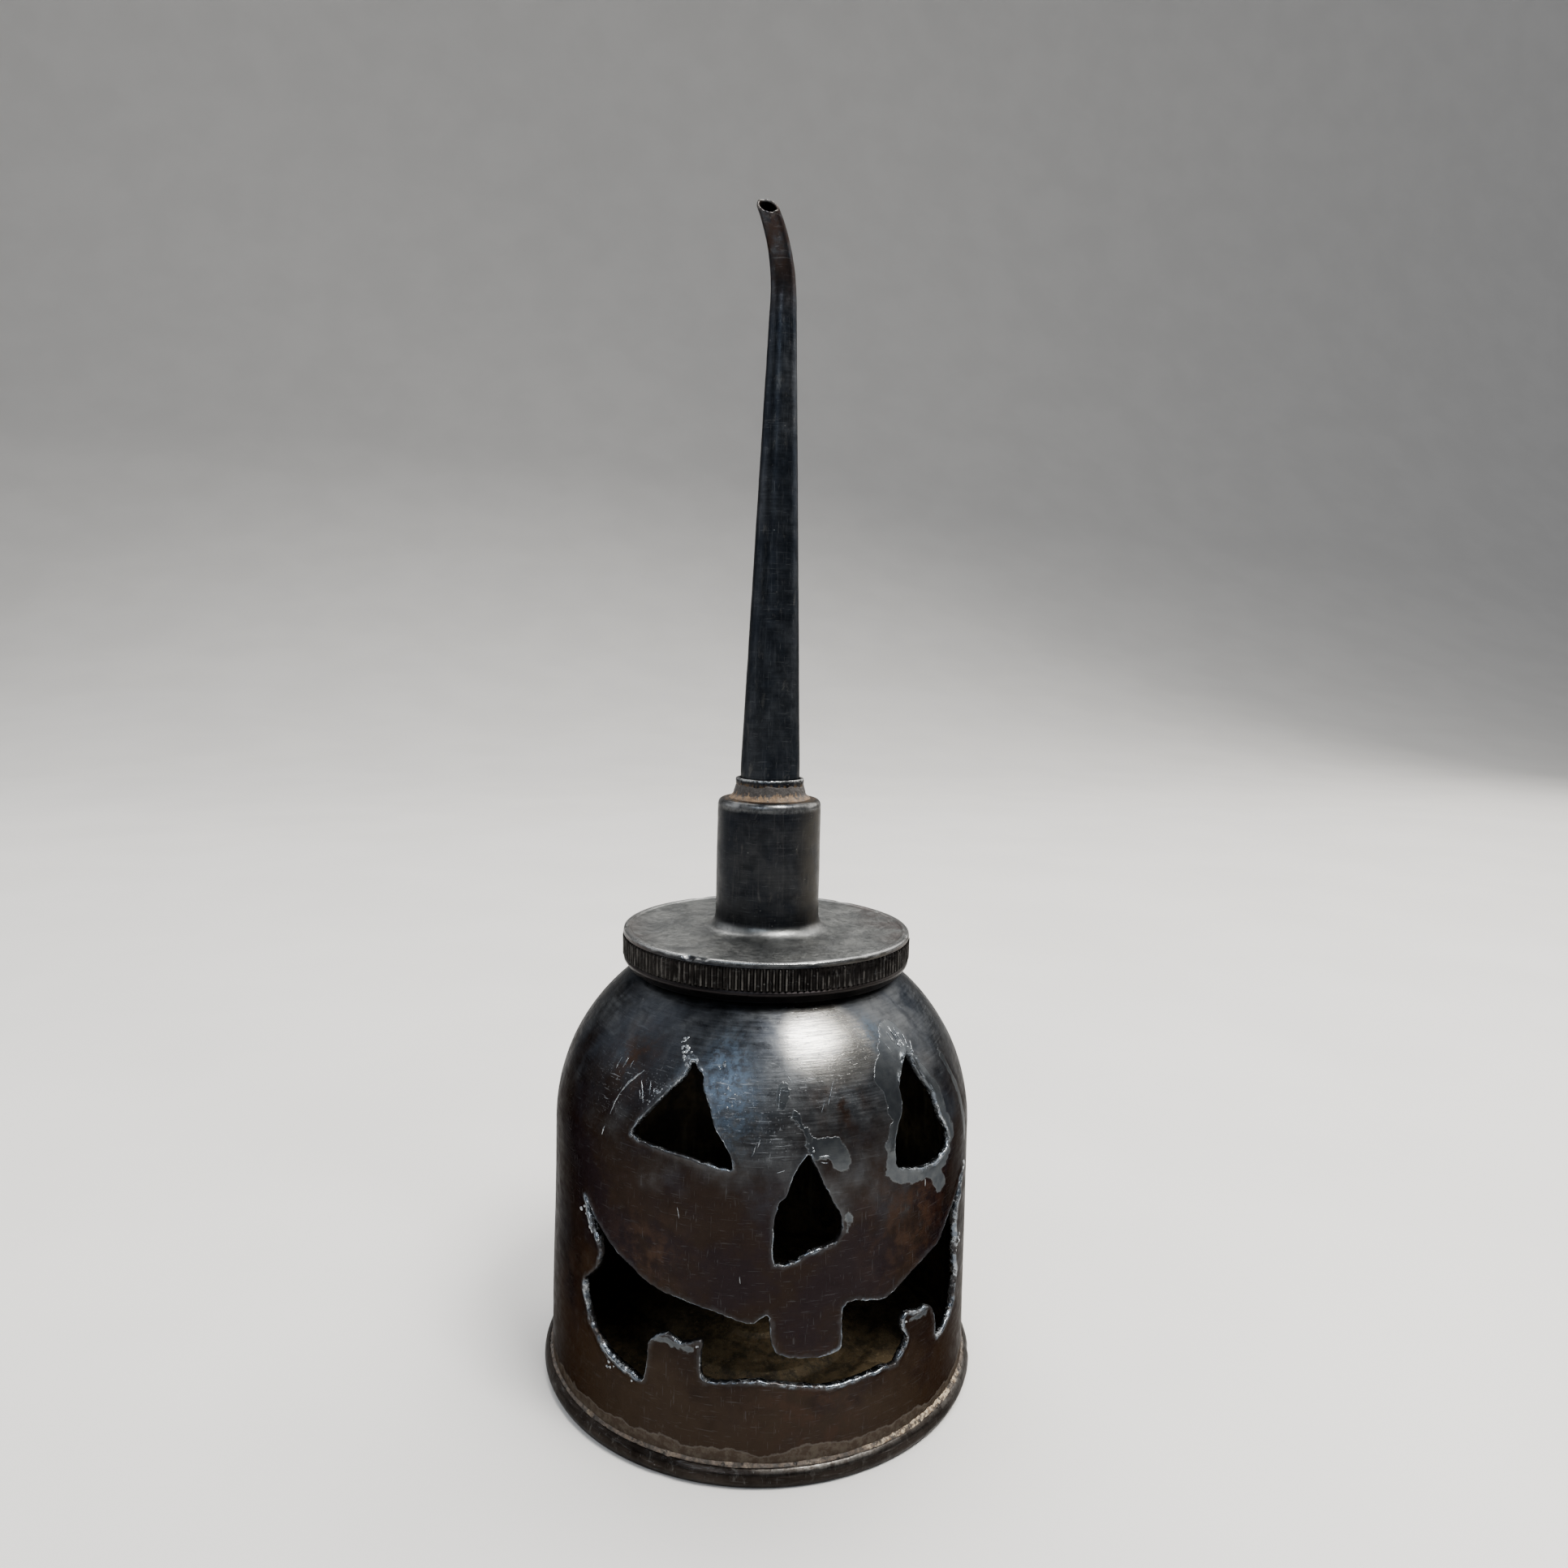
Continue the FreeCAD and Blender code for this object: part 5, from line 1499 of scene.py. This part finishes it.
def worn_brass():
    """Dull oily brass of the thread."""
    graph = Graph("worn_brass")
    graph.colour = graph.mix(graph.patches(0.3, 5, 0.65, 0.35, 0.65), BRASS_DULL, BRASS)
    graph.paint(graph.patches(1.1, 5, 0.7, 0.54, 0.66, 0.0, 0.8), BRASS_GRIME)
    graph.rough = graph.patches(0.8, 4, 0.55, 0.3, 0.7, 0.28, 0.5)
    graph.emboss(graph.noise(1.0, 4, 0.6, graph.stretch((0.2, 0.2, 3.0))), 0.02)
    return graph.finish()


def oiled_leather():
    """Dark leather, soaked in oil and pressed smooth."""
    graph = Graph("oiled_leather")
    grain = graph.cells(1.6)
    graph.colour = graph.mix(graph.patches(0.5, 5, 0.65, 0.35, 0.65), LEATHER_DARK, LEATHER)
    graph.paint(graph.between(grain, 0.05, 0.3, 0.6, 0.0), LEATHER_PIT)
    graph.rough = graph.patches(0.9, 4, 0.55, 0.3, 0.7, 0.35, 0.6)
    graph.emboss(grain, 0.12)
    return graph.finish(metal=0.0)


# ---------------------------------------------------------------- stage, lights and camera

FLOOR_COLOUR = (0.68, 0.67, 0.65)
SWEEP_FRONT = -1.6
SWEEP_BACK = 0.85
SWEEP_ROUND = 1.5
SWEEP_HALF_WIDTH = 3.2
SWEEP_TOP = 2.6
SWEEP_STEPS = 24
LIGHT_TARGET = Vector((0, 0, 0.06))


def make_floor():
    """Plain pale floor that sweeps up behind the object."""
    graph = Graph("pale_floor")
    paler = tuple(1.05 * part for part in FLOOR_COLOUR)
    graph.colour = graph.mix(graph.patches(0.012, 3, 0.5, 0.3, 0.7), FLOOR_COLOUR, paler)
    graph.rough = 0.62
    graph.emboss(graph.noise(1.2, 3, 0.5), 0.02)
    material = graph.finish(metal=0.0)
    line = [(SWEEP_FRONT, 0.0), (SWEEP_BACK, 0.0)]
    for step in range(1, SWEEP_STEPS + 1):
        turn = step / SWEEP_STEPS * math.pi / 2
        line.append((SWEEP_BACK + SWEEP_ROUND * math.sin(turn), SWEEP_ROUND * (1 - math.cos(turn))))
    line.append((SWEEP_BACK + SWEEP_ROUND, SWEEP_TOP))
    points = [(side * SWEEP_HALF_WIDTH, y, z) for y, z in line for side in (-1, 1)]
    faces = [(2 * n, 2 * n + 1, 2 * n + 3, 2 * n + 2) for n in range(len(line) - 1)]
    mesh = bpy.data.meshes.new("floor")
    mesh.from_pydata(points, [], faces)
    mesh.materials.append(material)
    mesh.shade_smooth()
    floor = bpy.data.objects.new("floor", mesh)
    bpy.context.scene.collection.objects.link(floor)


def add_light(name, azimuth, elevation, distance, size, power, colour):
    """Soft rectangular light aimed at the can's dome from a heading round from the front."""
    lamp = bpy.data.lights.new(name, "AREA")
    lamp.shape = "RECTANGLE"
    lamp.size, lamp.size_y = size
    lamp.energy = power
    lamp.color = colour
    light = bpy.data.objects.new(name, lamp)
    turn, rise = math.radians(azimuth), math.radians(elevation)
    back = Vector((math.sin(turn) * math.cos(rise), -math.cos(turn) * math.cos(rise), math.sin(rise)))
    light.location = LIGHT_TARGET + back * distance
    light.rotation_mode = "QUATERNION"
    light.rotation_quaternion = back.to_track_quat("Z", "Y")
    bpy.context.scene.collection.objects.link(light)


# name, azimuth, elevation, distance, (width, height), power, colour
LIGHTS = (
    ("key", 31, 62, 0.80, (0.24, 0.25), 8.0, (1.0, 0.98, 0.95)),
    ("key_spill", 50, 60, 0.80, (0.26, 0.25), 3.6, (1.0, 0.96, 0.89)),
    ("fill", -33, 38, 1.0, (0.30, 0.30), 2.4, (0.82, 0.90, 1.0)),
    ("left_wall", -112, 30, 1.2, (1.1, 1.0), 4.6, (0.98, 0.98, 1.0)),
    ("right_wall", 110, 32, 1.2, (1.1, 1.0), 11.0, (1.0, 0.96, 0.91)),
    ("overhead", 170, 60, 1.3, (1.2, 0.9), 20.0, (1.0, 0.98, 0.95)),
)
ROOM_COLOUR = (0.86, 0.88, 0.92, 1)
ROOM_STRENGTH = 0.32


def make_lights():
    """Soft studio light: a key and its spill, a cool fill, one light each side, one above and a dim room."""
    for light in LIGHTS:
        add_light(*light)
    world = bpy.data.worlds.new("room")
    world.use_nodes = True
    background = world.node_tree.nodes["Background"]
    background.inputs["Color"].default_value = ROOM_COLOUR
    background.inputs["Strength"].default_value = ROOM_STRENGTH
    bpy.context.scene.world = world


CAMERA_HEADING = math.radians(-12)
CAMERA_DISTANCE = 0.203087
CAMERA_HEIGHT = 0.130837
CAMERA_PITCH = math.radians(6.667)
CAMERA_ROLL = math.radians(1.363)
CAMERA_YAW = math.radians(0.7217)
CAMERA_LENS = 25.99


def make_camera():
    """Close hand-held view from a little above, turned a little to the can's left."""
    level_way = Vector((math.sin(CAMERA_YAW), math.cos(CAMERA_YAW), 0))
    side_way = Vector((math.cos(CAMERA_YAW), -math.sin(CAMERA_YAW), 0))
    top = Vector((0, 0, 1))
    forward = level_way * math.cos(CAMERA_PITCH) - top * math.sin(CAMERA_PITCH)
    rise = level_way * math.sin(CAMERA_PITCH) + top * math.cos(CAMERA_PITCH)
    right = side_way * math.cos(CAMERA_ROLL) + rise * math.sin(CAMERA_ROLL)
    up = rise * math.cos(CAMERA_ROLL) - side_way * math.sin(CAMERA_ROLL)
    basis = Matrix((right, up, -forward)).transposed()
    turn = Matrix.Rotation(CAMERA_HEADING, 3, "Z")
    data = bpy.data.cameras.new("camera")
    data.sensor_width = 36.0
    data.lens = CAMERA_LENS
    data.clip_start = 0.01
    camera = bpy.data.objects.new("camera", data)
    camera.matrix_world = Matrix.LocRotScale(
        turn @ Vector((0, -CAMERA_DISTANCE, CAMERA_HEIGHT)), (turn @ basis).to_quaternion(), None,
    )
    bpy.context.scene.collection.objects.link(camera)
    bpy.context.scene.camera = camera


# ---------------------------------------------------------------- the whole scene

def dress(node, material):
    """Gives a CAD node that stays visible its material."""
    mesh = frame["nodes"][node].data
    mesh.materials.clear()
    mesh.materials.append(material)


def main():
    """Builds every piece, then the stage, the lights and the camera."""
    molten = molten_steel()
    spring = spring_steel()
    brass = worn_brass()
    make_shell([shell_steel(), soot_inside()])
    make_dross(molten)
    make_marks(molten)
    make_foot_bead(worn_steel("bead_steel", BEAD_TONES, (0.2, 0.2, 2.6)))
    make_seam_crust(seam_rust())
    make_bottom_disc(spring)
    make_cap_shell(cap_steel())
    make_cap_knurl(worn_steel("knurl_steel", KNURL_TONES, (1.4, 1.4, 0.3)))
    make_solder_run(collar_solder())
    make_spout(worn_steel("spout_steel", SPOUT_TONES, (1.9, 1.9, 0.12), tip=(186, 198), edge_tint=0.5))
    dress("neck_ring", brass)
    dress("cap_liner", brass)
    dress("gasket_washer", oiled_leather())
    dress("neck_solder", neck_solder_grey())
    dress("bottom_button", spring)
    make_floor()
    make_lights()
    make_camera()


main()
bpy.context.view_layer.update()
